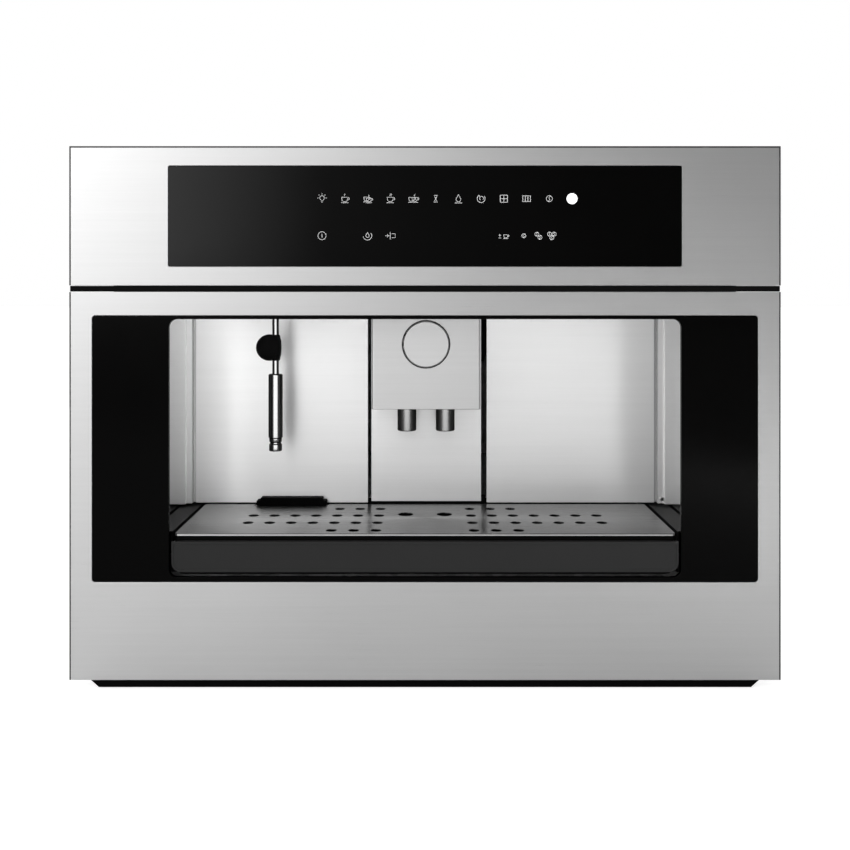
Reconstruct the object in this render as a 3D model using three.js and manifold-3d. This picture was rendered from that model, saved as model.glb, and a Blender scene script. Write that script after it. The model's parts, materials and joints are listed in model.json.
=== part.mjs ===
// Built-in coffee machine, 45 cm class, on telescopic runners.
// Millimetres. X to the right, Y to the rear, Z up. The origin is under the middle of the machine.
import * as THREE from "three";
import { mergeVertices } from "three/addons/utils/BufferGeometryUtils.js";
import Module from "manifold-3d";

const wasm = await Module();
wasm.setup();

// ---------------------------------------------------------------- driving dimensions
const WIDTH = 597; // steel front, edge to edge
const HEIGHT = 455; // floor of the cabinet to the top of the front
const DEPTH = 398; // steel front to the rear cover
const FRONT = -DEPTH / 2;
const REAR = DEPTH / 2;
const HALF = WIDTH / 2;

const SHEET = 1.2; // folded steel sheet
const BODY_HALF = 266; // half width of the chassis, inside the cabinet opening
const COVER_SHEET = 1; // side covers
const BODY_TOP = 447;
const COVER_BACK = REAR - SHEET; // inner face of the rear cover

// steel front
const PANEL_BACK = FRONT + 16.8; // the panels' rear lips, which meet the cabinet
const FRAME_BACK = PANEL_BACK + SHEET;
const SPLIT_LOW = 332.7; // top edge of the lower panel
const SPLIT_HIGH = 338.1; // bottom edge of the control panel
const PANEL_BOTTOM = 7;
const GLASS_BACK = FRONT + 3.8;
const REBATE_BACK = GLASS_BACK + 1.5;
const FIT = 0.3; // gap round a glass, and between cut neighbours

// window and niche
const WINDOW_HALF = 215;
const WINDOW_LOW = 93.2;
const WINDOW_HIGH = 309.8;
const NICHE_HALF = 251;
const NICHE_BACK = -78;
const NICHE_TOP = 350;
const NICHE_FOOT = 129.5; // lower edge of the niche's back wall
const DOOR_LEFT = -51.8;
const DOOR_RIGHT = 54.2;
const DOOR_TOP = 321; // low enough to swing in under the panels' lips
const HINGE = { x: 56, y: -75.2 }; // service door

// drip tray
const TRAY_FLOOR = 93.4;
const TRAY_RIM = 123;
const TRAY_HALF = 212.3;
const TRAY_FRONT_Y = -193.5;
const TRAY_REAR_Y = 58;
const GRILLE_TOP = 128.75;
const LEDGE_TOP = 127.4; // decks beside the tray

// decks and the machine's inside
const PAN_FLOOR = 6.2;
const PAN_RIM = 62;
const MEZZANINE = 132.2; // top of the plate that carries brew unit, boilers and tank
const GRINDER = { x: -20, y: 40 };
const BREW = { x: 0, y: -8 };
const WAND = { x: -137.3, y: -124, z: 340 };

// ---------------------------------------------------------------- materials
const finish = (color, roughness, metalness) => ({ color, roughness, metalness });
const BRUSHED = finish(0xc4c4c2, 0.32, 1);
const LINER_STEEL = finish(0xd6d6d4, 0.28, 1);
const GALVANISED = finish(0x9da0a2, 0.5, 0.9);
const CHROME = finish(0xe6e6e6, 0.08, 1);
const BLACK_GLASS = finish(0x0b0b0c, 0.06, 0);
const BLACK_PLASTIC = finish(0x17171a, 0.5, 0);
const GREY_PLASTIC = finish(0x353533, 0.45, 0);
const CLEAR_PLASTIC = finish(0xaab4b8, 0.15, 0);
const RUBBER = finish(0x141413, 0.75, 0);
const ALUMINIUM = finish(0xb9bbbd, 0.45, 0.9);
const BOARD_GREEN = finish(0x1f5a38, 0.55, 0);
const SILICONE = finish(0xe2e0da, 0.5, 0);
const BRASS = finish(0xb08d4a, 0.35, 1);

// ---------------------------------------------------------------- solids
function solidOf(geometry) {
  geometry.deleteAttribute("normal");
  geometry.deleteAttribute("uv");
  const merged = mergeVertices(geometry, 1e-4);
  const corner = Array.from(merged.index.array);
  const faces = [];
  for (let i = 0; i < corner.length; i += 3) {
    const [a, b, c] = corner.slice(i, i + 3);
    if (a !== b && b !== c && c !== a) faces.push(a, b, c);
  }
  const vertProperties = merged.attributes.position.array;
  return new wasm.Manifold(new wasm.Mesh({ numProp: 3, vertProperties, triVerts: new Uint32Array(faces) }));
}

function geometryOf(solid) {
  const mesh = solid.getMesh();
  const geometry = new THREE.BufferGeometry();
  geometry.setAttribute("position", new THREE.BufferAttribute(mesh.vertProperties, 3));
  geometry.setIndex(new THREE.BufferAttribute(mesh.triVerts, 1));
  geometry.computeVertexNormals();
  return geometry;
}

const join = (first, ...others) => others.reduce((whole, next) => whole.add(next), first);
const cut = (first, ...others) => others.reduce((whole, next) => whole.subtract(next), first);

// A [low, high] pair drawn in at both ends.
const inset = ([low, high], by) => [low + by, high - by];

// A box between two corners, one [low, high] pair for each axis.
function block([x0, x1], [y0, y1], [z0, z1]) {
  const box = new THREE.BoxGeometry(x1 - x0, y1 - y0, z1 - z0);
  return solidOf(box.translate((x0 + x1) / 2, (y0 + y1) / 2, (z0 + z1) / 2));
}

// Turns from the drawing plane of a Shape to the machine's axes.
const FROM_ABOVE = new THREE.Matrix4();
const FROM_FRONT = new THREE.Matrix4().makeRotationX(Math.PI / 2);
const FROM_RIGHT = new THREE.Matrix4().makeBasis(
  new THREE.Vector3(0, 1, 0),
  new THREE.Vector3(0, 0, 1),
  new THREE.Vector3(1, 0, 0),
);

// Extrudes a Shape drawn in plan (x, y), in front view (x, z) or from the right (y, z).
function extrude(shape, view, low, high, curveSegments = 4) {
  const body = new THREE.ExtrudeGeometry(shape, { depth: high - low, bevelEnabled: false, curveSegments });
  body.applyMatrix4(view);
  if (view === FROM_ABOVE) body.translate(0, 0, low);
  if (view === FROM_FRONT) body.translate(0, high, 0);
  if (view === FROM_RIGHT) body.translate(low, 0, 0);
  return solidOf(body);
}

// A round bar along x, y or z, whose centre line passes through the other two coordinates.
function bar(axis, radius, low, high, [first, second], sides = 16) {
  const body = new THREE.CylinderGeometry(radius, radius, high - low, sides);
  const middle = (low + high) / 2;
  if (axis === "x") body.rotateZ(-Math.PI / 2).translate(middle, first, second);
  if (axis === "y") body.translate(first, middle, second);
  if (axis === "z") body.rotateX(Math.PI / 2).translate(first, second, middle);
  return solidOf(body);
}

// A body of revolution about Z from [radius, height] points, outside going up.
function turned(points, sides = 20) {
  const profile = points.map(([radius, height]) => new THREE.Vector2(radius, height));
  return solidOf(new THREE.LatheGeometry(profile, sides).rotateX(Math.PI / 2));
}

// A rectangle with round corners as a Shape, or as a hole in one.
function roundRect([u0, u1], [v0, v1], radius, Kind = THREE.Shape) {
  const outline = new Kind();
  const quarter = Math.PI / 2;
  outline.moveTo(u0 + radius, v0);
  outline.absarc(u1 - radius, v0 + radius, radius, -quarter, 0);
  outline.absarc(u1 - radius, v1 - radius, radius, 0, quarter);
  outline.absarc(u0 + radius, v1 - radius, radius, quarter, 2 * quarter);
  outline.absarc(u0 + radius, v0 + radius, radius, 2 * quarter, 3 * quarter);
  outline.closePath();
  return outline;
}

// A slot with its corners cut off, as a hole in a sheet.
function slot([u0, u1], [v0, v1], corner = 1.5) {
  const points = [
    [u0 + corner, v0],
    [u1 - corner, v0],
    [u1, v0 + corner],
    [u1, v1 - corner],
    [u1 - corner, v1],
    [u0 + corner, v1],
    [u0, v1 - corner],
    [u0, v0 + corner],
  ];
  return new THREE.Path(points.map(([u, v]) => new THREE.Vector2(u, v)));
}

function regularPolygon(u, v, radius, sides, Kind = THREE.Shape) {
  const points = [];
  for (let i = 0; i < sides; i += 1) {
    const angle = (2 * Math.PI * (i + 0.5)) / sides;
    points.push(new THREE.Vector2(u + radius * Math.cos(angle), v + radius * Math.sin(angle)));
  }
  return new Kind(points);
}

// The section of a sheet folded along a path: both sides of the path, mitred at the bends.
function folded(path, thickness = SHEET) {
  const line = path.map(([u, v]) => new THREE.Vector2(u, v));
  const side = (sign) =>
    line.map((point, i) => {
      const before = i > 0 ? point.clone().sub(line[i - 1]).normalize() : null;
      const after = i < line.length - 1 ? line[i + 1].clone().sub(point).normalize() : null;
      const into = before ?? after;
      const out = after ?? before;
      const normal = new THREE.Vector2(-into.y, into.x);
      const mitre = normal.clone().add(new THREE.Vector2(-out.y, out.x)).normalize();
      return point.clone().addScaledVector(mitre, (sign * thickness) / 2 / mitre.dot(normal));
    });
  return new THREE.Shape([...side(1), ...side(-1).reverse()]);
}

// A moulding lofted through rounded rectangles, from the lowest section to the highest.
function loft(sections, perCorner = 2) {
  const positions = [];
  for (const { x, y, z, halfX, halfY, radius } of sections) {
    for (let corner = 0; corner < 4; corner += 1) {
      const sx = corner === 0 || corner === 3 ? 1 : -1;
      const sy = corner < 2 ? 1 : -1;
      for (let step = 0; step <= perCorner; step += 1) {
        const angle = (Math.PI / 2) * (corner + step / perCorner);
        positions.push(x + sx * (halfX - radius) + radius * Math.cos(angle));
        positions.push(y + sy * (halfY - radius) + radius * Math.sin(angle), z);
      }
    }
  }
  const ring = 4 * (perCorner + 1);
  const faces = [];
  for (let level = 0; level < sections.length - 1; level += 1) {
    for (let i = 0; i < ring; i += 1) {
      const a = level * ring + i;
      const b = level * ring + ((i + 1) % ring);
      faces.push(a, b, b + ring, a, b + ring, a + ring);
    }
  }
  const top = (sections.length - 1) * ring;
  for (let i = 1; i < ring - 1; i += 1) {
    faces.push(0, i + 1, i, top, top + i, top + i + 1);
  }
  const geometry = new THREE.BufferGeometry();
  geometry.setAttribute("position", new THREE.Float32BufferAttribute(positions, 3));
  geometry.setIndex(faces);
  return solidOf(geometry);
}

// A hose or pipe through points, with its ends square to the first and last stretch.
function pipe(points, radius, steps = 20, sides = 8) {
  const route = new THREE.CatmullRomCurve3(points.map((point) => new THREE.Vector3(...point)));
  const section = regularPolygon(0, 0, radius, sides);
  return solidOf(new THREE.ExtrudeGeometry(section, { steps, extrudePath: route, bevelEnabled: false }));
}

// ---------------------------------------------------------------- scene
const machine = new THREE.Group();
machine.name = "built_in_coffee_machine";

function place(parent, name, solid, look) {
  const material = new THREE.MeshStandardMaterial(look);
  const mesh = new THREE.Mesh(geometryOf(solid), material);
  mesh.name = name;
  parent.add(mesh);
}

function groupAt(x, y, z) {
  const group = new THREE.Group();
  group.position.set(x, y, z);
  machine.add(group);
  return group;
}

// ---------------------------------------------------------------- cabinet side: base plate and runners
const BASE_HALF = 280;
const BASE_FRONT = -172;
const BASE_BACK = 186;
const BASE_SHEET = 1.5;
const BASE_FLANGE = 50;

function basePlate() {
  const wall = BASE_HALF - BASE_SHEET / 2;
  const floor = BASE_SHEET / 2;
  const path = [[-wall, BASE_FLANGE], [-wall, floor], [wall, floor], [wall, BASE_FLANGE]];
  const section = folded(path, BASE_SHEET);
  const openings = [];
  for (const x of [-130, 130]) {
    for (const y of [-85, 85]) {
      const outline = roundRect([x - 90, x + 90], [y - 55, y + 55], 14);
      openings.push(extrude(outline, FROM_ABOVE, -1, 5, 2));
    }
  }
  for (const x of [-245, 245]) {
    for (const y of [-140, 20, 160]) {
      openings.push(extrude(roundRect([x - 9, x + 9], [y - 3, y + 3], 2.9), FROM_ABOVE, -1, 5, 1));
    }
  }
  return cut(extrude(section, FROM_FRONT, BASE_FRONT, BASE_BACK), ...openings);
}
place(machine, "base_plate", basePlate(), GALVANISED);

// Three rolled channels, one inside the next, on each side. Web and lips are drawn for the right side.
const RUNNER_FRONT = -170;
const RUNNER_BACK = 178;
const RUNNERS = {
  outer: { web: 278.5, lip: 268.6, low: 3, high: 48, thickness: 1.5 },
  middle: { web: 276.2, lip: 268, low: 4.9, high: 46.1, thickness: 1.4 },
  inner: { web: BODY_HALF, lip: 274, low: 6.7, high: 44.3, thickness: 1.4 },
};

function runner({ web, lip, low, high, thickness }, side, bead) {
  const inward = Math.sign(lip - web);
  const half = thickness / 2;
  const middle = (low + high) / 2;
  const spine = web + inward * half;
  const path = [
    [lip, low + half],
    [spine, low + half],
    [spine, middle - 9],
    [spine + inward * bead, middle - 6],
    [spine + inward * bead, middle + 6],
    [spine, middle + 9],
    [spine, high - half],
    [lip, high - half],
  ];
  const section = folded(path.map(([x, z]) => [side * x, z]), thickness);
  return extrude(section, FROM_FRONT, RUNNER_FRONT, RUNNER_BACK);
}

for (const [side, hand] of [[-1, "left"], [1, "right"]]) {
  place(machine, `runner_outer_${hand}`, runner(RUNNERS.outer, side, 0.4), GALVANISED);
  place(machine, `runner_middle_${hand}`, runner(RUNNERS.middle, side, -0.4), GALVANISED);
  place(machine, `runner_inner_${hand}`, runner(RUNNERS.inner, side, 1.6), GALVANISED);
}

// ---------------------------------------------------------------- chassis, decks and covers
function chassisPan() {
  const wall = BODY_HALF - SHEET / 2;
  const floor = PAN_FLOOR - SHEET / 2;
  const section = folded([[-wall, PAN_RIM], [-wall, floor], [wall, floor], [wall, PAN_RIM]]);
  const slots = [];
  for (let i = 0; i < 9; i += 1) {
    const x = -200 + 50 * i;
    slots.push(extrude(roundRect([x - 3, x + 3], [-150, -60], 2.9), FROM_ABOVE, 0, 10, 1));
  }
  const rise = [PAN_FLOOR - SHEET, PAN_RIM];
  const back = block([-BODY_HALF, BODY_HALF], [COVER_BACK - SHEET, COVER_BACK], rise);
  const inlet = block([-246, -194], [COVER_BACK - 5, COVER_BACK + 1], [26, 58]);
  return cut(join(extrude(section, FROM_FRONT, FRAME_BACK, COVER_BACK), back), ...slots, inlet);
}
place(machine, "chassis_pan", chassisPan(), GALVANISED);

// The tray's tunnel: legs on the pan's rim, ledges beside the tray, and the channel it slides in.
function trayDeck() {
  const leg = BODY_HALF - SHEET / 2;
  const ledge = LEDGE_TOP - SHEET / 2;
  const wall = TRAY_HALF + 4.8;
  const floor = TRAY_FLOOR - SHEET / 2;
  const groove = ledge - 3;
  const path = [
    [-leg, PAN_RIM],
    [-leg, ledge],
    [-239, ledge],
    [-239, groove],
    [-234, groove],
    [-234, ledge],
    [-wall, ledge],
    [-wall, floor],
  ];
  const mirrored = path.map(([x, z]) => [-x, z]).reverse();
  return extrude(folded([...path, ...mirrored]), FROM_FRONT, FRAME_BACK, 70);
}
place(machine, "tray_deck", trayDeck(), GREY_PLASTIC);

function mezzaninePlate() {
  const wall = BODY_HALF - SHEET / 2;
  const deck = MEZZANINE - SHEET / 2;
  const section = folded([[-wall, LEDGE_TOP], [-wall, deck], [wall, deck], [wall, LEDGE_TOP]]);
  const chute = extrude(roundRect([-30, 30], [-42, 30], 8), FROM_ABOVE, 120, 140, 2);
  const hoseGap = extrude(roundRect([184, 216], [112, 148], 8), FROM_ABOVE, 120, 140, 1);
  return cut(extrude(section, FROM_FRONT, -64, COVER_BACK), chute, hoseGap);
}
place(machine, "mezzanine_plate", mezzaninePlate(), GALVANISED);

const TANK_DOOR = { y: [-38.5, 98.5], z: [138, 306] };

function sideCover(side) {
  const outline = roundRect([FRAME_BACK, COVER_BACK], [53, BODY_TOP], 3);
  for (let i = 0; i < 8; i += 1) {
    const y = 122 + 8 * i;
    outline.holes.push(slot([y, y + 3], [340, 420], 1));
  }
  if (side > 0) {
    outline.holes.push(roundRect(TANK_DOOR.y, TANK_DOOR.z, 6, THREE.Path));
  }
  const inner = side * BODY_HALF;
  const outer = side * (BODY_HALF + COVER_SHEET);
  return extrude(outline, FROM_RIGHT, Math.min(inner, outer), Math.max(inner, outer), 2);
}
place(machine, "side_cover_left", sideCover(-1), GALVANISED);
place(machine, "side_cover_right", sideCover(1), GALVANISED);

const INLET = { x: -220, z: 42, spanX: [-244, -196], spanZ: [28, 56] };

function rearCover() {
  const half = BODY_HALF + COVER_SHEET;
  const outline = roundRect([-half, half], [PAN_FLOOR, BODY_TOP], 3);
  outline.holes.push(roundRect(INLET.spanX, INLET.spanZ, 4, THREE.Path));
  for (let row = 0; row < 2; row += 1) {
    for (let i = 0; i < 10; i += 1) {
      const x = -144 + 32 * i;
      const z = 330 + 50 * row;
      outline.holes.push(slot([x - 3, x + 3], [z - 18, z + 18]));
    }
  }
  return extrude(outline, FROM_FRONT, COVER_BACK, REAR, 2);
}
place(machine, "rear_cover", rearCover(), GALVANISED);

const HOPPER_MOUTH = { x: [-105, 65], y: [-25, 105] };
const FUNNEL_MOUTH = { x: [84, 126], y: [19, 61] };

function topCover() {
  const half = BODY_HALF + COVER_SHEET;
  const outline = roundRect([-half, half], [FRAME_BACK, REAR], 3);
  outline.holes.push(roundRect(HOPPER_MOUTH.x, HOPPER_MOUTH.y, 10, THREE.Path));
  outline.holes.push(roundRect(FUNNEL_MOUTH.x, FUNNEL_MOUTH.y, 6, THREE.Path));
  return extrude(outline, FROM_ABOVE, BODY_TOP, BODY_TOP + SHEET, 1);
}
place(machine, "top_cover", topCover(), GALVANISED);

function frontFrame() {
  const outline = roundRect([-BODY_HALF, BODY_HALF], [PAN_FLOOR - SHEET, BODY_TOP], 2);
  outline.holes.push(roundRect([-NICHE_HALF + 1, NICHE_HALF - 1], [92.8, 331], 2, THREE.Path));
  outline.holes.push(roundRect([-190, 190], [362, 430], 8, THREE.Path));
  return extrude(outline, FROM_FRONT, PANEL_BACK, FRAME_BACK, 1);
}
place(machine, "front_frame", frontFrame(), GALVANISED);

// ---------------------------------------------------------------- steel front
// A pan of sheet steel: face, four returns, and lips turned in along its rear edge. On each side lip
// a pressed pad stands proud: it is what meets the cabinet's edge when the machine is pushed in.
const PAD = { x: [271, 295], proud: 0.6, clear: 12 };
const RUNNER_CLEAR = 50;

function cabinetPad(side, low, high) {
  const span = PAD.x.map((x) => side * x).sort((a, b) => a - b);
  return block(span, [PANEL_BACK - PAD.proud, PANEL_BACK + PAD.proud], [low, high]);
}

function panelPan(low, high) {
  const sideLip = 40;
  const endLip = 10;
  const skin = block([-HALF, HALF], [FRONT, PANEL_BACK], [low, high]);
  const hollow = block(
    [-HALF + SHEET, HALF - SHEET],
    [FRONT + SHEET, PANEL_BACK - SHEET],
    [low + SHEET, high - SHEET],
  );
  const mouth = block(
    [-HALF + sideLip, HALF - sideLip],
    [PANEL_BACK - 2, PANEL_BACK + 1],
    [low + endLip, high - endLip],
  );
  const padLow = Math.max(low, RUNNER_CLEAR) + PAD.clear;
  const pads = [-1, 1].map((side) => cabinetPad(side, padLow, high - PAD.clear));
  return join(cut(skin, hollow, mouth), ...pads);
}

// A rebate pressed into the face, so that a glass lies flush in it, and the opening inside the rebate.
function withRebate(pan, glass, opening) {
  const wall = 1.5;
  const [left, right] = glass.x;
  const [low, high] = glass.z;
  const depth = [FRONT + SHEET, REBATE_BACK];
  const dish = block([left - wall, right + wall], depth, [low - wall, high + wall]);
  const seat = extrude(roundRect(glass.x, glass.z, glass.radius), FROM_FRONT, FRONT - 1, GLASS_BACK);
  const through = block(opening.x, [FRONT - 1, REBATE_BACK + 1], opening.z);
  return cut(join(pan, dish), seat, through);
}

const CONTROL = { x: [-215.7, 215.7], z: [353.7, 438.8], radius: 1.5 };
const WINDOW = { x: [-279.5, 279.5], z: [89.1, 313], radius: 2.8 };
const CONTROL_OPENING = { x: [-207, 207], z: [359, 433] };
const WINDOW_OPENING = { x: [-NICHE_HALF + 1, NICHE_HALF - 1], z: [92.8, 310.2] };

function glassPlate(seat) {
  return roundRect(inset(seat.x, FIT), inset(seat.z, FIT), seat.radius);
}

const upperPan = panelPan(SPLIT_HIGH, HEIGHT);
const lowerPan = panelPan(PANEL_BOTTOM, SPLIT_LOW);
const controlGlass = extrude(glassPlate(CONTROL), FROM_FRONT, FRONT, GLASS_BACK, 1);
place(machine, "control_panel", withRebate(upperPan, CONTROL, CONTROL_OPENING), BRUSHED);
place(machine, "lower_panel", withRebate(lowerPan, WINDOW, WINDOW_OPENING), BRUSHED);
place(machine, "control_glass", controlGlass, BLACK_GLASS);

function windowGlass() {
  const outline = glassPlate(WINDOW);
  outline.holes.push(roundRect([-WINDOW_HALF, WINDOW_HALF], [WINDOW_LOW, WINDOW_HIGH], 7, THREE.Path));
  return extrude(outline, FROM_FRONT, FRONT, GLASS_BACK, 3);
}
place(machine, "window_glass", windowGlass(), BLACK_GLASS);

function touchBoard() {
  const board = block([-203, 203], [GLASS_BACK, GLASS_BACK + 1.6], [362, 430]);
  const parts = [
    block([-30, 6], [GLASS_BACK + 1.6, GLASS_BACK + 4], [385, 409]),
    block([120, 170], [GLASS_BACK + 1.6, GLASS_BACK + 9], [366, 378]),
    block([-150, -120], [GLASS_BACK + 1.6, GLASS_BACK + 8], [366, 376]),
  ];
  return join(board, ...parts);
}
place(machine, "touch_board", touchBoard(), BOARD_GREEN);

// The black strip under the front, with its lower corners cut off.
function toeStrip() {
  const corner = 7;
  const low = 0.5;
  const high = PANEL_BOTTOM - FIT;
  const half = 281;
  const outline = new THREE.Shape();
  outline.moveTo(-half, high);
  outline.lineTo(-half + corner, low);
  outline.lineTo(half - corner, low);
  outline.lineTo(half, high);
  outline.closePath();
  return extrude(outline, FROM_FRONT, FRONT + 1, PANEL_BACK);
}
place(machine, "toe_strip", toeStrip(), BLACK_PLASTIC);

// Black seal that closes the gap between the two panels, set back a little from their faces.
function panelSeal() {
  const reach = HALF - 0.5;
  const low = SPLIT_LOW + FIT;
  const high = SPLIT_HIGH - FIT;
  const lip = 1.2;
  const bulb = block([-reach, reach], [FRONT + 1.5, FRONT + 4], [low, high]);
  const foot = block([-reach, reach], [FRONT + 4, FRONT + 5.5], [low + lip, high - lip]);
  return join(bulb, foot);
}
place(machine, "panel_seal", panelSeal(), RUBBER);

// ---------------------------------------------------------------- niche
// Side walls, a pressed step and a joint groove in each corner, and the back wall, open for the
// service door.
function nicheLiner() {
  const half = SHEET / 2;
  const wall = NICHE_HALF + half;
  const back = NICHE_BACK + half;
  const steps = [
    [-wall, back - 8],
    [-230.5, back - 8],
    [-230.5, back - 4],
    [-225, back - 4],
    [-225, back + 3],
    [-221.3, back + 3],
    [-221.3, back],
  ];
  const path = [[-wall, FRAME_BACK], ...steps];
  const mirrored = path.map(([x, y]) => [-x, y]).reverse();
  const walls = extrude(folded([...path, ...mirrored]), FROM_ABOVE, LEDGE_TOP, NICHE_TOP);
  const doorwaySpan = [DOOR_LEFT - 3.4, DOOR_RIGHT + 5.4];
  const doorway = block(doorwaySpan, [NICHE_BACK - 2, NICHE_BACK + 4], [100, DOOR_TOP + 1.5]);
  const edge = NICHE_HALF + SHEET;
  const foot = block([-edge - 4, edge + 4], [NICHE_BACK - 9, NICHE_BACK + 6], [100, NICHE_FOOT]);
  const ceiling = block([-edge, edge], [FRAME_BACK, NICHE_BACK + SHEET], [NICHE_TOP, NICHE_TOP + SHEET]);
  const wandHole = bar("z", 5, NICHE_TOP - 5, NICHE_TOP + 5, [WAND.x, WAND.y]);
  return cut(join(cut(walls, doorway, foot), ceiling), wandHole);
}
place(machine, "niche_liner", nicheLiner(), LINER_STEEL);

// The moulded frame behind the back wall that carries the service door's two pivot pins.
function serviceFrame() {
  const depth = [NICHE_BACK + SHEET, -64];
  const ring = cut(
    block([-68, 74], depth, [128, NICHE_TOP]),
    block([-56, 63], [-80, -60], [130.4, DOOR_TOP + 1.6]),
  );
  const lowPin = bar("z", 1.4, 129, 135.5, [HINGE.x, HINGE.y], 10);
  const highPin = bar("z", 1.4, DOOR_TOP - 4.5, DOOR_TOP + 2.6, [HINGE.x, HINGE.y], 10);
  return join(ring, lowPin, highPin);
}
place(machine, "service_frame", serviceFrame(), BLACK_PLASTIC);

// Black moulding at the foot of the back wall, where rinse water runs out into the tray.
function rinseGutter() {
  const outline = roundRect([-161.5, -94.5], [124, 136], 5);
  const scoop = roundRect([-156, -100], [126, 132.5], 3);
  return cut(
    extrude(outline, FROM_FRONT, NICHE_BACK - 9, NICHE_BACK, 2),
    extrude(scoop, FROM_FRONT, NICHE_BACK - 10, NICHE_BACK - 3, 1),
  );
}
place(machine, "rinse_gutter", rinseGutter(), BLACK_PLASTIC);

function nicheLamp() {
  const low = NICHE_TOP - 3.8;
  const section = folded([[-176, NICHE_TOP], [-176, low], [-162, low], [-162, NICHE_TOP]], 2);
  return extrude(section, FROM_RIGHT, -70, 70);
}
place(machine, "niche_lamp", nicheLamp(), CLEAR_PLASTIC);

// ---------------------------------------------------------------- service door and dispenser
const DOOR_BACK = -70;
const DISPENSER_X = 1;
const RAIL = { x: [-8, 10], y: [NICHE_BACK - 12, NICHE_BACK], z: [262, DOOR_TOP - 1] };

function serviceDoor() {
  const span = [DOOR_LEFT, DOOR_RIGHT];
  const rise = [131, DOOR_TOP];
  const skin = block(span, [NICHE_BACK, DOOR_BACK], rise);
  const hollow = block(inset(span, SHEET), [NICHE_BACK + SHEET, DOOR_BACK + 1], inset(rise, SHEET));
  const ribs = [175, 225, 300].map((z) => block(inset(span, 1), [NICHE_BACK + 1, -72], [z, z + 2]));
  const ears = [131, DOOR_TOP - 5].map((z) => {
    const arm = block([50, HINGE.x], [HINGE.y - 2.4, HINGE.y + 2.4], [z, z + 5]);
    return join(arm, bar("z", 2.6, z, z + 5, [HINGE.x, HINGE.y]));
  });
  const rail = block(RAIL.x, RAIL.y, RAIL.z);
  const bores = bar("z", 1.7, 130, DOOR_TOP + 1, [HINGE.x, HINGE.y], 12);
  const coffeeHole = bar("y", 5, NICHE_BACK - 20, DOOR_BACK + 1, [DISPENSER_X, 282], 14);
  return cut(join(cut(skin, hollow), ...ribs, ...ears, rail), bores, coffeeHole);
}
place(machine, "service_door", serviceDoor(), BRUSHED);

// The dispenser's own axes: middle of its front face, at its lower edge.
const SPOUTS = { x: 17.8, y: 16, radius: 8.7 };
const DISPENSER = { half: 49.75, depth: 49.5, height: 83.7 };
const DISC = { z: 59.5, radius: 21.2 };
const dispenser = groupAt(DISPENSER_X, -130, 225.8);

function dispenserShape(half, front, back, radius) {
  const outline = new THREE.Shape();
  outline.moveTo(-half, back);
  outline.lineTo(-half, front + radius);
  outline.absarc(-half + radius, front + radius, radius, Math.PI, 1.5 * Math.PI);
  outline.absarc(half - radius, front + radius, radius, 1.5 * Math.PI, 2 * Math.PI);
  outline.lineTo(half, back);
  outline.closePath();
  return outline;
}

function dispenserBody() {
  const { half, depth, height } = DISPENSER;
  const outer = extrude(dispenserShape(half, 0, depth, 2), FROM_ABOVE, 0, height);
  const inner = extrude(dispenserShape(half - SHEET, SHEET, depth + 1, 1), FROM_ABOVE, SHEET, height + 1);
  const window = bar("y", DISC.radius + 0.8, -1, SHEET + 1, [0, DISC.z], 32);
  const exits = [-1, 1].map((side) => bar("z", SPOUTS.radius + FIT, -1, 3, [side * SPOUTS.x, SPOUTS.y]));
  return cut(outer, inner, window, ...exits);
}
place(dispenser, "dispenser_body", dispenserBody(), BRUSHED);

// Plastic block inside the steel: it slides on the door's rail and holds the spouts and the disc.
function dispenserCarrier() {
  const back = DISPENSER.depth;
  const front = SHEET + FIT;
  const y = (front + back) / 2;
  const halfY = (back - front) / 2 - FIT;
  const halfX = DISPENSER.half - SHEET - FIT;
  const body = loft([
    { x: 0, y, z: 5.2, halfX: halfX - 16, halfY, radius: 3 },
    { x: 0, y, z: 18, halfX, halfY, radius: 3 },
    { x: 0, y, z: DISPENSER.height - 1, halfX, halfY, radius: 3 },
  ]);
  const channel = block([-9.5, 9.5], [39.6, back + 2], [4, 85]);
  return cut(body, channel);
}
place(dispenser, "dispenser_carrier", dispenserCarrier(), BLACK_PLASTIC);

function dispenserDisc() {
  const { radius } = DISC;
  const profile = [[0, 0], [radius, 0], [radius, 2.2], [radius - 0.9, 3], [0, 3.2]];
  const disc = geometryOf(turned(profile, 32)).rotateX(Math.PI / 2);
  return solidOf(disc.translate(0, SHEET, DISC.z));
}
place(dispenser, "dispenser_disc", dispenserDisc(), BRUSHED);

function spout() {
  const { radius } = SPOUTS;
  const profile = [
    [5.5, -21.3],
    [radius - 1.2, -21.3],
    [radius, -20.3],
    [radius, 5.2],
    [3.5, 5.2],
    [3.5, -4],
    [5.5, -8],
    [5.5, -21.3],
  ];
  return turned(profile, 20);
}
for (const [side, hand] of [[-1, "left"], [1, "right"]]) {
  const nozzle = new THREE.Group();
  nozzle.position.set(side * SPOUTS.x, SPOUTS.y, 0);
  dispenser.add(nozzle);
  place(nozzle, `spout_${hand}`, spout(), CHROME);
}

// ---------------------------------------------------------------- steam wand
// The wand's own axes: centre of its ball, which hangs in the turning collar.
const wand = groupAt(WAND.x, WAND.y, WAND.z);
const BALL = 5.6;
const TUBE = 3;
const SLEEVE = { top: -82.1, bottom: -141.2, radius: 6.5 };
const WAND_TIP = -152.9;

function wandSocket() {
  const profile = [[0, 6], [11, 6], [14, 8.5], [14, 10], [4.6, 10], [4.6, 16], [0, 16]];
  return turned(profile);
}
place(wand, "wand_socket", wandSocket(), CHROME);

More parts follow.
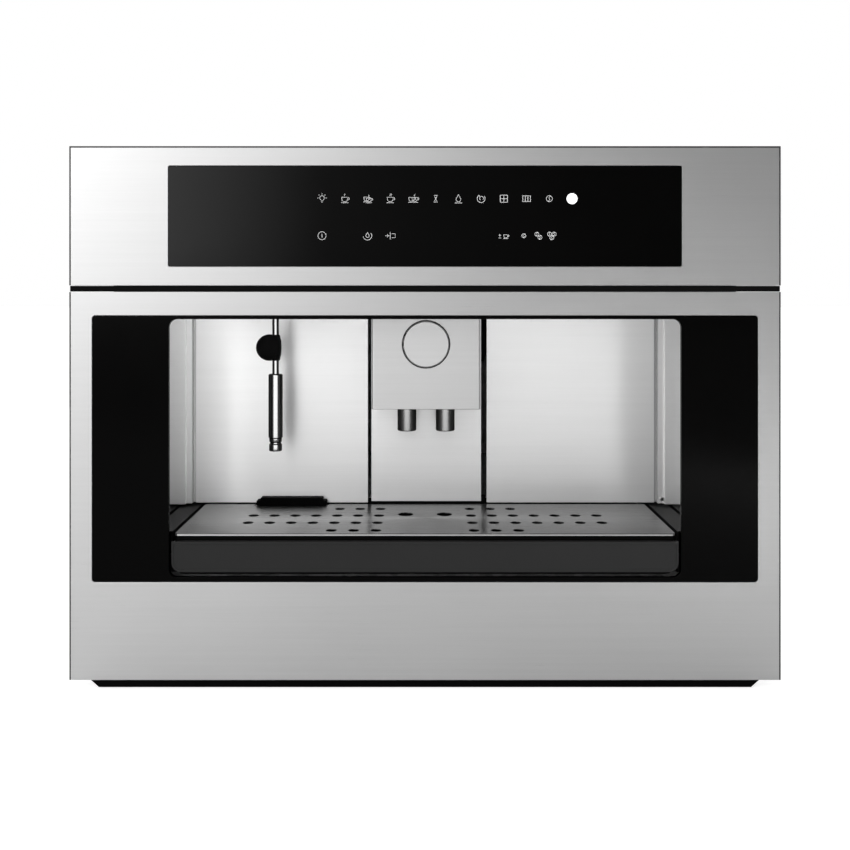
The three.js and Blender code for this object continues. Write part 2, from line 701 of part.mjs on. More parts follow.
function wandCollar() {
  const profile = [[0, -7], [6, -7], [9.5, -3.5], [9.5, 4.5], [8, 6], [0, 6]];
  const cavity = solidOf(new THREE.SphereGeometry(BALL + FIT, 16, 10).rotateX(Math.PI / 2));
  const bore = bar("z", 4.6, 3, 8, [0, 0]);
  const throat = bar("z", TUBE + 0.9, -9, 0, [0, 0]);
  const slot = block([-TUBE - 0.9, TUBE + 0.9], [-12, 0], [-9, -1.4]);
  return cut(turned(profile), cavity, bore, throat, slot);
}
place(wand, "wand_collar", wandCollar(), BLACK_PLASTIC);

function wandTube() {
  const ball = solidOf(new THREE.SphereGeometry(BALL, 16, 10).rotateX(Math.PI / 2));
  return join(ball, bar("z", TUBE, SLEEVE.bottom, 0, [0, 0]));
}
place(wand, "wand_tube", wandTube(), CHROME);

// Soft grip: a round lobe to the left of the tube and a flatter back round it.
function wandGrip() {
  const middle = -58;
  const lobe = new THREE.SphereGeometry(1, 16, 8).scale(12.4, 8.5, 12.2).translate(-5.6, 0, middle);
  const flat = block([4.9, 20], [-20, 20], [middle - 20, middle + 20]);
  const back = bar("z", 5.2, middle - 10.5, middle + 10.5, [0, 0]);
  return cut(join(cut(solidOf(lobe), flat), back), bar("z", TUBE + 0.25, -90, -30, [0, 0]));
}
place(wand, "wand_grip", wandGrip(), RUBBER);

function wandSleeve() {
  const { top, bottom, radius } = SLEEVE;
  const bore = TUBE + 0.25;
  const profile = [
    [bore, bottom + 0.3],
    [radius - 0.7, bottom + 0.3],
    [radius, bottom + 1.5],
    [radius, top - 1],
    [radius - 1, top],
    [bore, top],
    [bore, bottom + 0.3],
  ];
  return turned(profile, 16);
}
place(wand, "wand_sleeve", wandSleeve(), CHROME);

function wandNozzle() {
  const low = WAND_TIP;
  const high = SLEEVE.bottom;
  const profile = [
    [0, low],
    [5.2, low],
    [5.9, low + 0.8],
    [5.9, low + 6.2],
    [4.9, low + 7],
    [4.9, low + 8],
    [5.7, low + 8.8],
    [5.7, high],
    [0, high],
  ];
  return cut(turned(profile, 16), bar("z", 1, low - 1, low + 5, [0, 0], 8));
}
place(wand, "wand_nozzle", wandNozzle(), CHROME);

// ---------------------------------------------------------------- drip tray
function trayBasin() {
  const y = (TRAY_FRONT_Y + TRAY_REAR_Y) / 2;
  const halfY = (TRAY_REAR_Y - TRAY_FRONT_Y) / 2;
  const section = (z, by, radius) => {
    return { x: 0, y, z, halfX: TRAY_HALF - by, halfY: halfY - by, radius };
  };
  const outer = loft([
    section(TRAY_FLOOR, 3, 6),
    section(TRAY_FLOOR + 3.5, 0, 8),
    section(TRAY_RIM, 0, 8),
  ]);
  const inner = loft([
    section(TRAY_FLOOR + 2, 5, 5),
    section(TRAY_FLOOR + 5.5, 2, 6),
    section(TRAY_RIM + 1, 2, 6),
  ]);
  return cut(outer, inner);
}
place(machine, "tray_basin", trayBasin(), BLACK_PLASTIC);

// Dark front of the tray, with round lower corners and a finger hollow behind its lower edge.
function trayFront() {
  const half = 213.3;
  const low = 97;
  const high = 122.6;
  const radius = 8;
  const outline = new THREE.Shape();
  outline.moveTo(-half, high);
  outline.lineTo(-half, low + radius);
  outline.absarc(-half + radius, low + radius, radius, Math.PI, 1.5 * Math.PI);
  outline.absarc(half - radius, low + radius, radius, 1.5 * Math.PI, 2 * Math.PI);
  outline.lineTo(half, high);
  outline.closePath();
  return extrude(outline, FROM_FRONT, TRAY_FRONT_Y - 4, TRAY_FRONT_Y, 5);
}
place(machine, "tray_front", trayFront(), GREY_PLASTIC);

function groundsBin() {
  const section = (z, by, radius) => ({ x: 0, y: -5, z, halfX: 75 - by, halfY: 55 - by, radius });
  const low = TRAY_FLOOR + 2;
  const top = 127.2;
  const outer = loft([section(low, 4, 8), section(top, 0, 10)]);
  const inner = loft([section(low + 2, 6, 7), section(top + 1, 2, 8)]);
  return cut(outer, inner);
}
place(machine, "grounds_bin", groundsBin(), BLACK_PLASTIC);

// Perforated grille: four rows of round holes on each side, and two large holes under the spouts.
const GRILLE = { half: 211.5, front: -194, back: -81, plate: 1.5 };
const HOLES = { first: 42, pitch: 19.1, rowFront: -183.1, rowPitch: 27.2, radius: 4.7 };
const HOLES_IN_ROW = [3, 7, 7, 3];

function dripGrille() {
  const { half, front, back, plate } = GRILLE;
  const outline = roundRect([-half, half], [front, back], 3);
  HOLES_IN_ROW.forEach((count, row) => {
    for (let i = 0; i < count; i += 1) {
      for (const side of [-1, 1]) {
        const x = side * (HOLES.first + HOLES.pitch * i);
        const y = HOLES.rowFront + HOLES.rowPitch * row;
        outline.holes.push(regularPolygon(x, y, HOLES.radius, 10, THREE.Path));
      }
    }
  });
  for (const side of [-1, 1]) {
    outline.holes.push(regularPolygon(side * SPOUTS.x, -123.7, 7.1, 14, THREE.Path));
  }
  const top = extrude(outline, FROM_ABOVE, GRILLE_TOP - plate, GRILLE_TOP, 2);
  const skirt = cut(
    extrude(roundRect([-half, half], [front, back], 3), FROM_ABOVE, TRAY_RIM, GRILLE_TOP - plate, 2),
    block([-half + SHEET, half - SHEET], [front + SHEET, back - SHEET], [TRAY_RIM - 1, GRILLE_TOP]),
    block([-half + 8, half - 8], [front - 1, front + 3], [TRAY_RIM - 1, 126.2]),
  );
  const notch = block([-163.5, -92.5], [NICHE_BACK - 11, back + 1], [TRAY_RIM - 1, GRILLE_TOP + 1]);
  return cut(join(top, skirt), notch);
}
place(machine, "drip_grille", dripGrille(), BRUSHED);

// ---------------------------------------------------------------- beans, grinder and funnel
const HOPPER_FOOT = 368;

function beanHopper() {
  const { x, y } = GRINDER;
  const section = (z, halfX, halfY, radius) => ({ x, y, z, halfX, halfY, radius });
  const outer = loft([
    section(HOPPER_FOOT, 26, 26, 25.9),
    section(374, 26, 26, 25.9),
    section(402, 81, 61, 12),
    section(BODY_TOP - 3, 83, 63, 10),
    section(BODY_TOP - 3, 92, 72, 12),
    section(BODY_TOP, 92, 72, 12),
  ], 4);
  const inner = loft([
    section(HOPPER_FOOT - 1, 23.5, 23.5, 23.4),
    section(375, 23.5, 23.5, 23.4),
    section(403, 79, 59, 10),
    section(BODY_TOP + 1, 81, 61, 8),
  ], 4);
  return cut(outer, inner);
}
place(machine, "bean_hopper", beanHopper(), CLEAR_PLASTIC);

const grinder = groupAt(GRINDER.x, GRINDER.y, 0);

function grinderHousing() {
  const profile = [
    [0, 264],
    [22, 264],
    [34, 268],
    [34, 310],
    [38, 314],
    [38, 360],
    [30, 364],
    [30, HOPPER_FOOT],
    [0, HOPPER_FOOT],
  ];
  const chamber = bar("z", 20.5, 334, HOPPER_FOOT + 1, [0, 0], 20);
  const exit = block([-12, 12], [-52, -20], [318, 340]);
  const exitBore = block([-9, 9], [-53, -16], [336, 337.5]);
  return cut(join(turned(profile, 20), exit), chamber, exitBore);
}
place(grinder, "grinder_housing", grinderHousing(), BLACK_PLASTIC);

// Conical burr: a fluted cone whose flutes wind half a turn round it.
function grinderBurr() {
  const flutes = 12;
  const levels = 5;
  const positions = [];
  for (let level = 0; level <= levels; level += 1) {
    const share = level / levels;
    const outside = 19 - 11 * share;
    for (let i = 0; i < 2 * flutes; i += 1) {
      const angle = (Math.PI * i) / flutes + 0.9 * share;
      const radius = i % 2 ? outside : outside - 2.2;
      positions.push(radius * Math.cos(angle), radius * Math.sin(angle), 334.4 + 26 * share);
    }
  }
  const ring = 2 * flutes;
  const faces = [];
  for (let level = 0; level < levels; level += 1) {
    for (let i = 0; i < ring; i += 1) {
      const a = level * ring + i;
      const b = level * ring + ((i + 1) % ring);
      faces.push(a, b, b + ring, a, b + ring, a + ring);
    }
  }
  const low = positions.length / 3;
  positions.push(0, 0, 334.4, 0, 0, 362.5);
  for (let i = 0; i < ring; i += 1) {
    const next = (i + 1) % ring;
    faces.push(low, next, i, low + 1, levels * ring + i, levels * ring + next);
  }
  const geometry = new THREE.BufferGeometry();
  geometry.setAttribute("position", new THREE.Float32BufferAttribute(positions, 3));
  geometry.setIndex(faces);
  return solidOf(geometry);
}
place(grinder, "grinder_burr", grinderBurr(), ALUMINIUM);

function groundChute() {
  const section = (x, y, z, half, radius) => ({ x, y, z, halfX: half, halfY: half, radius });
  const outer = loft([
    section(48, -6, 262, 13, 5),
    section(60, 6, 300, 14, 5),
    section(105, 40, 405, 21, 6),
    section(105, 40, BODY_TOP - 3, 23, 6),
    section(105, 40, BODY_TOP - 3, 28, 6),
    section(105, 40, BODY_TOP, 28, 6),
  ]);
  const inner = loft([
    section(48, -6, 261, 11, 4),
    section(60, 6, 300, 12, 4),
    section(105, 40, 405, 19, 5),
    section(105, 40, BODY_TOP + 1, 20, 5),
  ]);
  return cut(outer, inner);
}
place(machine, "ground_chute", groundChute(), BLACK_PLASTIC);

// Lids that lie on the top cover, each with a finger lip at its front edge.
function topLid([x0, x1], [y0, y1], margin, height) {
  const x = (x0 + x1) / 2;
  const y = (y0 + y1) / 2;
  const low = BODY_TOP + SHEET;
  const halfX = (x1 - x0) / 2 + margin;
  const halfY = (y1 - y0) / 2 + margin;
  const lid = loft([
    { x, y, z: low, halfX, halfY, radius: 8 },
    { x, y, z: low + height - 1.5, halfX, halfY, radius: 8 },
    { x, y, z: low + height, halfX: halfX - 1.5, halfY: halfY - 1.5, radius: 7 },
  ]);
  const finger = block([x - 15, x + 15], [y - halfY - 3, y - halfY + 8], [low + 1.5, low + 3]);
  return join(lid, finger);
}
place(machine, "bean_lid", topLid(HOPPER_MOUTH.x, HOPPER_MOUTH.y, 3, 4), CLEAR_PLASTIC);
place(machine, "funnel_flap", topLid(FUNNEL_MOUTH.x, FUNNEL_MOUTH.y, 4, 4), BLACK_PLASTIC);

// ---------------------------------------------------------------- brew unit
const brew = groupAt(BREW.x, BREW.y, MEZZANINE);
const CHAMBER = { outer: 27, inner: 21, low: 38, high: 82 };

function brewFrame() {
  const cheek = (x) => {
    const outline = new THREE.Shape();
    outline.moveTo(-44, 0);
    outline.lineTo(44, 0);
    outline.lineTo(44, 96);
    outline.absarc(32, 108, 14, 0, Math.PI / 2);
    outline.lineTo(-30, 122);
    outline.lineTo(-44, 108);
    outline.closePath();
    outline.holes.push(slot([-32, -24], [20, 100], 2.5));
    outline.holes.push(slot([24, 32], [20, 80], 2.5));
    return extrude(outline, FROM_RIGHT, x - 2, x + 2, 2);
  };
  const sole = cut(block([-40, 40], [-44, 44], [0, 4]), block([-26, 26], [-30, 34], [-1, 5]));
  const ring = cut(
    join(
      bar("z", CHAMBER.outer, CHAMBER.low, CHAMBER.high, [0, 0], 20),
      block([-39, 39], [-9, 9], [CHAMBER.low + 6, CHAMBER.high - 6]),
    ),
    bar("z", CHAMBER.inner, CHAMBER.low - 1, CHAMBER.high + 1, [0, 0], 20),
  );
  const head = join(
    block([-39, 39], [-30, 30], [104, 116]),
    bar("z", 20, 94, 105, [0, 0], 20),
    bar("z", 7, 115, 124, [0, 0], 12),
  );
  const nose = block([-9, 9], [-52, -28], [104, 114]);
  return join(sole, cheek(-40), cheek(40), ring, head, nose);
}
place(brew, "brew_frame", brewFrame(), BLACK_PLASTIC);

function brewPiston() {
  const profile = [[0, 8], [7, 8], [7, 40], [20.4, 44], [20.4, 50], [19, 51.5], [0, 51.5]];
  return turned(profile, 20);
}
place(brew, "brew_piston", brewPiston(), BRASS);

// ---------------------------------------------------------------- boilers, pump and electrics
function coffeeBoiler() {
  const low = MEZZANINE;
  const body = block([-158, -78], [80, 150], [low, low + 46]);
  const ribs = [];
  for (let i = 0; i < 7; i += 1) {
    const x = -155 + 12 * i;
    ribs.push(block([x, x + 3], [80, 150], [low + 45, low + 58]));
  }
  const outlet = bar("z", 5, low + 44, low + 66, [-118, 86], 12);
  return join(body, ...ribs, outlet);
}
place(machine, "coffee_boiler", coffeeBoiler(), ALUMINIUM);

const steamBoiler = groupAt(-212, 112, MEZZANINE);

function steamVessel() {
  const profile = [
    [0, 0],
    [34, 0],
    [34, 4],
    [30, 6],
    [32, 12],
    [32, 84],
    [24, 96],
    [8, 100],
    [5, 104],
    [5, 112],
    [0, 112],
  ];
  const band = cut(bar("z", 34, 40, 52, [0, 0], 16), bar("z", 31, 39, 53, [0, 0], 16));
  return join(turned(profile, 16), band);
}
place(steamBoiler, "steam_boiler", steamVessel(), ALUMINIUM);

// Vibration pump lying in a folded bracket on the pan.
function waterPump() {
  const axis = [132, 38];
  const y = axis[0];
  const sole = PAN_FLOOR + 0.75;
  const bracket = extrude(
    folded([[y - 30, 30], [y - 30, sole], [y + 30, sole], [y + 30, 30]], 1.5),
    FROM_RIGHT,
    -150,
    -90,
  );
  const coil = block([-145, -95], [y - 29.5, y + 29.5], [14, 62]);
  const body = join(bar("x", 16, -172, -74, axis, 20), bar("x", 6, -182, -64, axis, 12));
  return join(bracket, coil, body);
}
place(machine, "water_pump", waterPump(), BLACK_PLASTIC);

function powerBoard() {
  const face = COVER_BACK - 8;
  const board = block([96, 240], [face - 1.6, face], [160, 320]);
  const posts = [];
  for (const x of [106, 230]) {
    for (const z of [170, 310]) {
      posts.push(bar("y", 4, face - 0.5, COVER_BACK, [x, z], 8));
    }
  }
  const parts = [
    block([110, 150], [face - 36, face - 1], [190, 225]),
    block([160, 184], [face - 20, face - 1], [190, 206]),
    block([190, 214], [face - 20, face - 1], [190, 206]),
    block([110, 220], [face - 12, face - 1], [292, 304]),
    bar("y", 9, face - 30, face - 1, [180, 250], 12),
    bar("y", 9, face - 30, face - 1, [204, 250], 12),
  ];
  return join(board, ...posts, ...parts);
}
place(machine, "power_board", powerBoard(), BOARD_GREEN);

// Appliance inlet in the rear cover, with three flat contacts standing in its recess.
function mainsInlet() {
  const { x, z, spanX, spanZ } = INLET;
  const outline = roundRect(inset(spanX, FIT), inset(spanZ, FIT), 4);
  const mouth = roundRect(inset(spanX, 10), inset(spanZ, 5), 3);
  const body = extrude(outline, FROM_FRONT, COVER_BACK - 20, REAR, 1);
  const recess = extrude(mouth, FROM_FRONT, COVER_BACK - 14, REAR + 1, 1);
  const pins = [[-7, -2], [0, 3], [7, -2]].map(([dx, dz]) =>
    block([x + dx - 1, x + dx + 1], [COVER_BACK - 15, REAR - 4], [z + dz - 2.5, z + dz + 2.5]));
  return join(cut(body, recess), ...pins);
}
place(machine, "mains_inlet", mainsInlet(), BLACK_PLASTIC);

// ---------------------------------------------------------------- water
const TANK = { x: 208, y: 30, low: MEZZANINE + 8, high: 300, halfX: 56, halfY: 66 };

function tankCradle() {
  const { x, y } = TANK;
  const foot = MEZZANINE;
  const outer = block([x - 60, BODY_HALF], [y - 70, y + 70], [foot, foot + 8]);
  const pocket = block([x - 52, BODY_HALF + 1], [y - 60, y + 60], [foot + 3, foot + 9]);
  const valve = cut(
    bar("z", 12, foot + 2, foot + 7, [x, y], 20),
    bar("z", 5, foot + 4, foot + 8, [x, y], 12),
  );
  const hoseTail = bar("y", 4, y + 69, y + 82, [200, foot + 5.5], 10);
  return join(cut(outer, pocket), valve, hoseTail);
}
place(machine, "tank_cradle", tankCradle(), GREY_PLASTIC);

function waterTank() {
  const { x, y, low, high, halfX, halfY } = TANK;
  const section = (z, by, radius) => ({ x, y, z, halfX: halfX - by, halfY: halfY - by, radius });
  const outer = loft([section(low, 4, 8), section(low + 6, 0, 10), section(high, 0, 10)]);
  const inner = loft([section(low + 3, 6, 6), section(low + 9, 2.5, 8), section(high + 1, 2.5, 8)]);
  const side = x + halfX;
  const gripHole = roundRect([y - 30, y + 30], [high - 40, high - 18], 8);
  const gripRim = roundRect([y - 33, y + 33], [high - 43, high - 15], 9);
  const grip = extrude(gripHole, FROM_RIGHT, side - 8, side + 1, 1);
  const gripWall = extrude(gripRim, FROM_RIGHT, side - 10.5, side - 1, 1);
  return cut(join(cut(outer, inner), gripWall), grip);
}
place(machine, "water_tank", waterTank(), CLEAR_PLASTIC);

function tankLid() {
  const { x, y, high, halfX, halfY } = TANK;
  const lid = loft([
    { x, y, z: high, halfX, halfY, radius: 10 },
    { x, y, z: high + 2.5, halfX, halfY, radius: 10 },
    { x, y, z: high + 4, halfX: halfX - 2, halfY: halfY - 2, radius: 9 },
  ]);
  return cut(lid, bar("z", 14, high - 1, high + 5, [x - 20, y - 30], 16));
}
place(machine, "tank_lid", tankLid(), BLACK_PLASTIC);

const suction = [
  [200, 113, 137.7],
  [200, 126, 136],
  [200, 132, 118],
  [197, 134, 60],
  [170, 136, 24],
  [90, 134, 20],
  [0, 132, 26],
  [-45, 132, 38],
  [-63.5, 132, 38],
];
place(machine, "suction_hose", pipe(suction, 3.5, 20), SILICONE);

const steam = [
  [-212, 112, 245],
  [-212, 108, 275],
  [-206, 70, 350],
  [-190, 10, 392],
  [-160, -70, 388],
  [-138.5, -118, 374],
  [WAND.x, WAND.y, 357],
];
place(machine, "steam_pipe", pipe(steam, 2.5, 16), SILICONE);

export default machine;
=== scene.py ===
# %% [markdown]
# # A built-in coffee machine in Blender
#
# The machine fills a 600 by 450 mm opening between kitchen cabinets. Its front is two brushed steel
# panels with black glass let into them, and behind the lower glass is an open niche with a steam wand,
# a pair of coffee spouts and a drip tray. The engineering model comes in as a frame of plain solids, and
# this notebook gives each of them its finish: round edges, brush lines, chrome, glass and moulded grain.

# %% Load the frame
import json
import math

import bmesh
import bpy
from mathutils import Matrix, Vector


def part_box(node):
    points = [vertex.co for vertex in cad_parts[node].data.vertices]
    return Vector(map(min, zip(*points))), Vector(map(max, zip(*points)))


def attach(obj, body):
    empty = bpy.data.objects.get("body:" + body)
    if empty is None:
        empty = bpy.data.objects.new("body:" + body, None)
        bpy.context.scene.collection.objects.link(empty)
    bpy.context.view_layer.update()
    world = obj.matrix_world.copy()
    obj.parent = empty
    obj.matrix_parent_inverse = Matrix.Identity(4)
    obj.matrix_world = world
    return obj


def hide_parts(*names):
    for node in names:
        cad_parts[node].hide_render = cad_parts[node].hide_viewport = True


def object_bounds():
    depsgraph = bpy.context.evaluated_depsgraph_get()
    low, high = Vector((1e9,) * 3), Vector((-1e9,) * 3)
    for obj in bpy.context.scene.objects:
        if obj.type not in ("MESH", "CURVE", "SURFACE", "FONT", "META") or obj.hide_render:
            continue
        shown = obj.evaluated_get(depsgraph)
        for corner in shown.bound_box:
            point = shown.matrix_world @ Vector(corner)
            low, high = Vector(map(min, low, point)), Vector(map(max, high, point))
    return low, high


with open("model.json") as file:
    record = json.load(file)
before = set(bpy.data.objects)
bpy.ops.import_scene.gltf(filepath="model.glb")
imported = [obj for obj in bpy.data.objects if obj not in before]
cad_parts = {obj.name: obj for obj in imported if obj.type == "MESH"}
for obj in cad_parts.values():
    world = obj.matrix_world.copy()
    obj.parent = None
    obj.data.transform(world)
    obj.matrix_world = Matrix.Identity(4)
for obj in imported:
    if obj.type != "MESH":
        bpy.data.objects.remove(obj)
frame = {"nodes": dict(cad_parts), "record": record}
solids = frame["nodes"]
body_of = {name: body for body, names in frame["record"]["behaviour"]["bodies"].items() for name in names}
cad_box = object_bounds()
machine_high = cad_box[1]
MM = 0.001

# %% [markdown]
# ## The camera
#
# The photograph looks straight at the front, from about 0.8 m away, level with the strip of steel over
# the niche. A level camera keeps upright lines upright, so instead of tilting it down the lens is
# shifted, as an architect's camera is: the picture slides down until the machine sits in its middle.

# %% Place the camera
PICTURE = 850
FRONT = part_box("lower_panel")[0].y
CAMERA_DISTANCE = 0.786
CAMERA_HEIGHT = 0.328
PIXELS_PER_UNIT_SLOPE = 936.9
SENSOR = 36.0
LENS_SHIFT = -0.15

camera_data = bpy.data.cameras.new("camera")
camera_data.sensor_width = SENSOR
camera_data.lens = PIXELS_PER_UNIT_SLOPE / PICTURE * SENSOR
camera_data.shift_y = LENS_SHIFT
camera = bpy.data.objects.new("camera", camera_data)
camera.location = (0, FRONT - CAMERA_DISTANCE, CAMERA_HEIGHT)
camera.rotation_euler = (math.radians(90), 0, 0)
bpy.context.scene.collection.objects.link(camera)
bpy.context.scene.camera = camera
print("lens:", round(camera_data.lens, 2), "mm")

# %% [markdown]
# ## Shader maths that reads like Python
#
# A finish is a small graph of nodes. Wiring each Math node by hand hides the idea behind it, so a
# Varying wraps one output and overloads the arithmetic operators: `0.2 + 0.1 * grain` adds the two
# Math nodes by itself. Everything else goes through one method, Finish.node.

# %% A number that changes over a surface
class Varying:
    def __init__(self, graph, socket):
        self.graph = graph
        self.socket = socket

    def math(self, operation, first, second):
        return self.graph.math(operation, first, second)

    def __add__(self, other):
        return self.math("ADD", self, other)

    def __sub__(self, other):
        return self.math("SUBTRACT", self, other)

    def __rsub__(self, other):
        return self.math("SUBTRACT", other, self)

    def __mul__(self, other):
        return self.math("MULTIPLY", self, other)

    def __pow__(self, other):
        return self.math("POWER", self, other)

    def __gt__(self, other):
        return self.math("GREATER_THAN", self, other)

    __radd__ = __add__
    __rmul__ = __mul__


# %% A graph of nodes, and a finish, which is the graph of one material
class Graph:
    def __init__(self, tree):
        self.tree = tree

    def feed(self, socket, value):
        if isinstance(value, Varying):
            self.tree.links.new(value.socket, socket)
        else:
            socket.default_value = value

    def node(self, kind, settings=None, sockets=None, output=0):
        made = self.tree.nodes.new("ShaderNode" + kind)
        for name, value in (settings or {}).items():
            setattr(made, name, value)
        for name, value in (sockets or {}).items():
            self.feed(made.inputs[name], value)
        return Varying(self, made.outputs[output]) if made.outputs else made

    def math(self, operation, first, second):
        return self.node("Math", {"operation": operation}, {0: first, 1: second})

    def mix(self, share, first, second):
        return self.node("Mix", {"data_type": "RGBA"}, {0: share, 6: first, 7: second}, output=2)


class Finish(Graph):
    def __init__(self, name, **constants):
        self.material = bpy.data.materials.new(name)
        self.material.use_nodes = True
        super().__init__(self.material.node_tree)
        self.shader = self.tree.nodes["Principled BSDF"]
        self.varies(**constants)

    def place(self, stretch):
        """The surface's own coordinates in metres, stretched so that 1 is one feature of a pattern."""
        here = self.node("TexCoord", output="Object")
        return self.node("Mapping", sockets={"Vector": here, "Scale": stretch})

    def noise(self, stretch, detail=2.0, rough=0.5):
        sockets = {"Vector": self.place(stretch), "Scale": 1.0, "Detail": detail, "Roughness": rough}
        return self.node("TexNoise", sockets=sockets)

    def bump(self, height, strength, depth_mm):
        sockets = {"Height": height, "Strength": strength, "Distance": depth_mm * MM}
        self.feed(self.shader.inputs["Normal"], self.node("Bump", sockets=sockets))

    def varies(self, **sockets):
        for socket, value in sockets.items():
            self.feed(self.shader.inputs[socket.replace("_", " ")], value)


def grey(level, warmth=0.0):
    """A linear grey from a 0 to 255 screen level, as a material colour."""
    linear = (level / 255) ** 2.2
    return (linear * (1 + warmth), linear, linear * (1 - warmth), 1.0)


print("shader helpers ready")

# %% [markdown]
# ## Brushed steel
#
# An abrasive belt leaves hair-fine scratches that all run one way. Each scratch is a tiny groove, so a
# reflection stays sharp along the lines and smears across them: a horizontally brushed wall shows
# whatever stands before it as soft upright bands. The shader's anisotropy does exactly that, and its
# rotation says which way the smear runs. Three layers of noise add the scratches themselves, the
# belt's wider bands and the slow unevenness that shows in raking light.

# %% Steel finishes
SMEAR = 0.8
ACROSS = 0.25
SCRATCH_DEPTH = 0.008
PANEL_BRUSH = {"scratches": (14, 60, 3600), "bands": (3, 20, 300)}


def brushed_steel(name, dark, light, roughness, scratches, bands, metallic=1.0, relief=0.2):
    """Gives the finish and its shade, the sum of scratches, bands and clouds. Patterns are per metre."""
    steel = Finish(name, Metallic=metallic, Anisotropic=SMEAR, Anisotropic_Rotation=ACROSS)
    fine = steel.noise(scratches, detail=3.0, rough=0.6)
    band = steel.noise(bands, detail=1.0)
    cloud = steel.noise((9, 9, 9), detail=1.0)
    shade = 0.55 * fine + 0.3 * band + 0.15 * cloud
    steel.varies(
        Base_Color=steel.mix(shade, dark, light),
        Roughness=roughness - 0.05 + 0.1 * fine + 0.04 * cloud,
    )
    steel.bump(fine + 0.4 * band, relief, SCRATCH_DEPTH)
    return steel, shade


# Lighter steel used only for the grille's rolled rim: a painted highlight.
RIM_HIGHLIGHT_STEEL = brushed_steel("rim_highlight_steel", grey(210), grey(228), 0.28, **PANEL_BRUSH)[0].material
NICHE_STEEL = brushed_steel(
    "niche_steel", grey(224), grey(240), 0.3, scratches=(14, 60, 3200), bands=(4, 20, 160), metallic=0.7
)[0].material
GRILLE_STEEL = brushed_steel(
    "grille_steel", grey(108), grey(126), 0.26, scratches=(14, 3000, 60), bands=(3, 160, 20), relief=0.05
)[0].material
DISPENSER_STEEL = brushed_steel("dispenser_steel", grey(184), grey(200), 0.3, **PANEL_BRUSH)[0].material
DISC_STEEL = brushed_steel("disc_steel", grey(186), grey(204), 0.3, **PANEL_BRUSH)[0].material
# The niche's side walls: the same steel brushed along them, in a darker tone that is painted shade.
SHADED_SIDE_STEEL = brushed_steel(
    "niche_side_painted_shade", grey(196), grey(212), 0.34, scratches=(60, 14, 3200), bands=(20, 4, 160),
    metallic=0.7,
)[0].material
print("steel finishes: 6")

# %% [markdown]
# The two front panels get one thing more. Their outer edge is folded back round a small radius, and a
# fine dark line of painted shade is drawn round each panel, where that edge turns from the light. A mask
# on the piece's own coordinates finds the last strip before the outer edge, little more than a millimetre
# wide, on the front only, and paints it dark and not metallic. The round faces of the folded edge take
# the same painted shade, as a dark matt finish, further down, once their mesh exists.

# %% Panel steel with painted shade on the folded outer edge
FOLD = 1.35 * MM


# Paints shade along the folded outer edge: the last strip on the front turns dark and not metallic.
def panel_steel(name, dark, light, fold_shade):
    steel, shade = brushed_steel(name, dark, light, 0.28, **PANEL_BRUSH)
    here = steel.node("TexCoord", output="Object")
    x, y, z = [steel.node("SeparateXYZ", sockets={"Vector": here}, output=axis) for axis in "XYZ"]
    beside = steel.math("ABSOLUTE", x, 0) > machine_high.x - FOLD
    above = z > machine_high.z - FOLD
    on_the_front = 1 - (y > FRONT + FOLD)
    # The outline mask marks where the painted shade goes.
    outline = steel.math("MAXIMUM", beside, above) * on_the_front
    steel.varies(
        Base_Color=steel.mix(outline, steel.mix(shade, dark, light), fold_shade),
        Metallic=1 - outline,
    )
    return steel.material


# grey(28) is the painted shade of the folded outer edge.
PANEL_STEEL = panel_steel("panel_steel", grey(210), grey(228), grey(28))
print("panel steel ready")

# %% [markdown]
# ## Zinc-coated sheet
#
# Chassis, covers and runners are never seen once the machine is pushed in, so they are plain
# galvanised sheet. Zinc freezes in large flat crystals, each turned another way and so of another
# brightness. A Voronoi texture has just such cells: its random cell colour gives each crystal its tone.

# %% Zinc finish
def zinc_sheet(name, dark, light, roughness, crystal_mm):
    zinc = Finish(name, Metallic=0.9)
    per_metre = 1 / (crystal_mm * MM)
    spot = zinc.place((per_metre, per_metre, per_metre))
    drift = zinc.noise((per_metre * 1.4,) * 3, detail=2.0)
    cells = zinc.node("TexVoronoi", {"feature": "F1"}, {"Vector": spot, "Scale": 1.0}, output="Color")
    crystal = zinc.node("SeparateColor", sockets={"Color": cells})
    shade = 0.7 * crystal + 0.3 * drift
    zinc.varies(Base_Color=zinc.mix(shade, dark, light), Roughness=roughness + 0.14 * crystal)
    zinc.bump(drift, 0.1, 0.02)
    return zinc.material


ZINC = zinc_sheet("zinc_sheet", grey(150), grey(192), 0.36, crystal_mm=9)
print("zinc finish ready")

# %% [markdown]
# ## Chrome, cast metal and turned brass
#
# Chrome is almost a mirror, and what sells it is restraint: a little dulling from wiping, in soft
# patches. Cast aluminium has a sandy skin, and turned brass has rings that follow the lathe.

# %% Bright metals
def chrome(name, dark, light, roughness):
    plating = Finish(name, Metallic=1.0, Specular_Tint=(0.25, 0.25, 0.25, 1.0))
    wiped = plating.noise((60, 60, 25), detail=3.0)
    plating.varies(Base_Color=plating.mix(wiped, dark, light), Roughness=roughness + 0.08 * wiped)
    return plating.material


def cast_metal(name, dark, light, grain_mm):
    cast = Finish(name, Metallic=0.9)
    skin = cast.noise((1 / (grain_mm * MM),) * 3, detail=4.0, rough=0.65)
    cast.varies(Base_Color=cast.mix(skin, dark, light), Roughness=0.42 + 0.2 * skin)
    cast.bump(skin, 0.35, 0.15)
    return cast.material


def turned_metal(name, dark, light, ring_mm):
    metal = Finish(name, Metallic=1.0)
    rings = metal.noise((12, 12, 1 / (ring_mm * MM)), detail=2.0)
    metal.varies(Base_Color=metal.mix(rings, dark, light), Roughness=0.24 + 0.16 * rings)
    metal.bump(rings, 0.2, 0.03)
    return metal.material


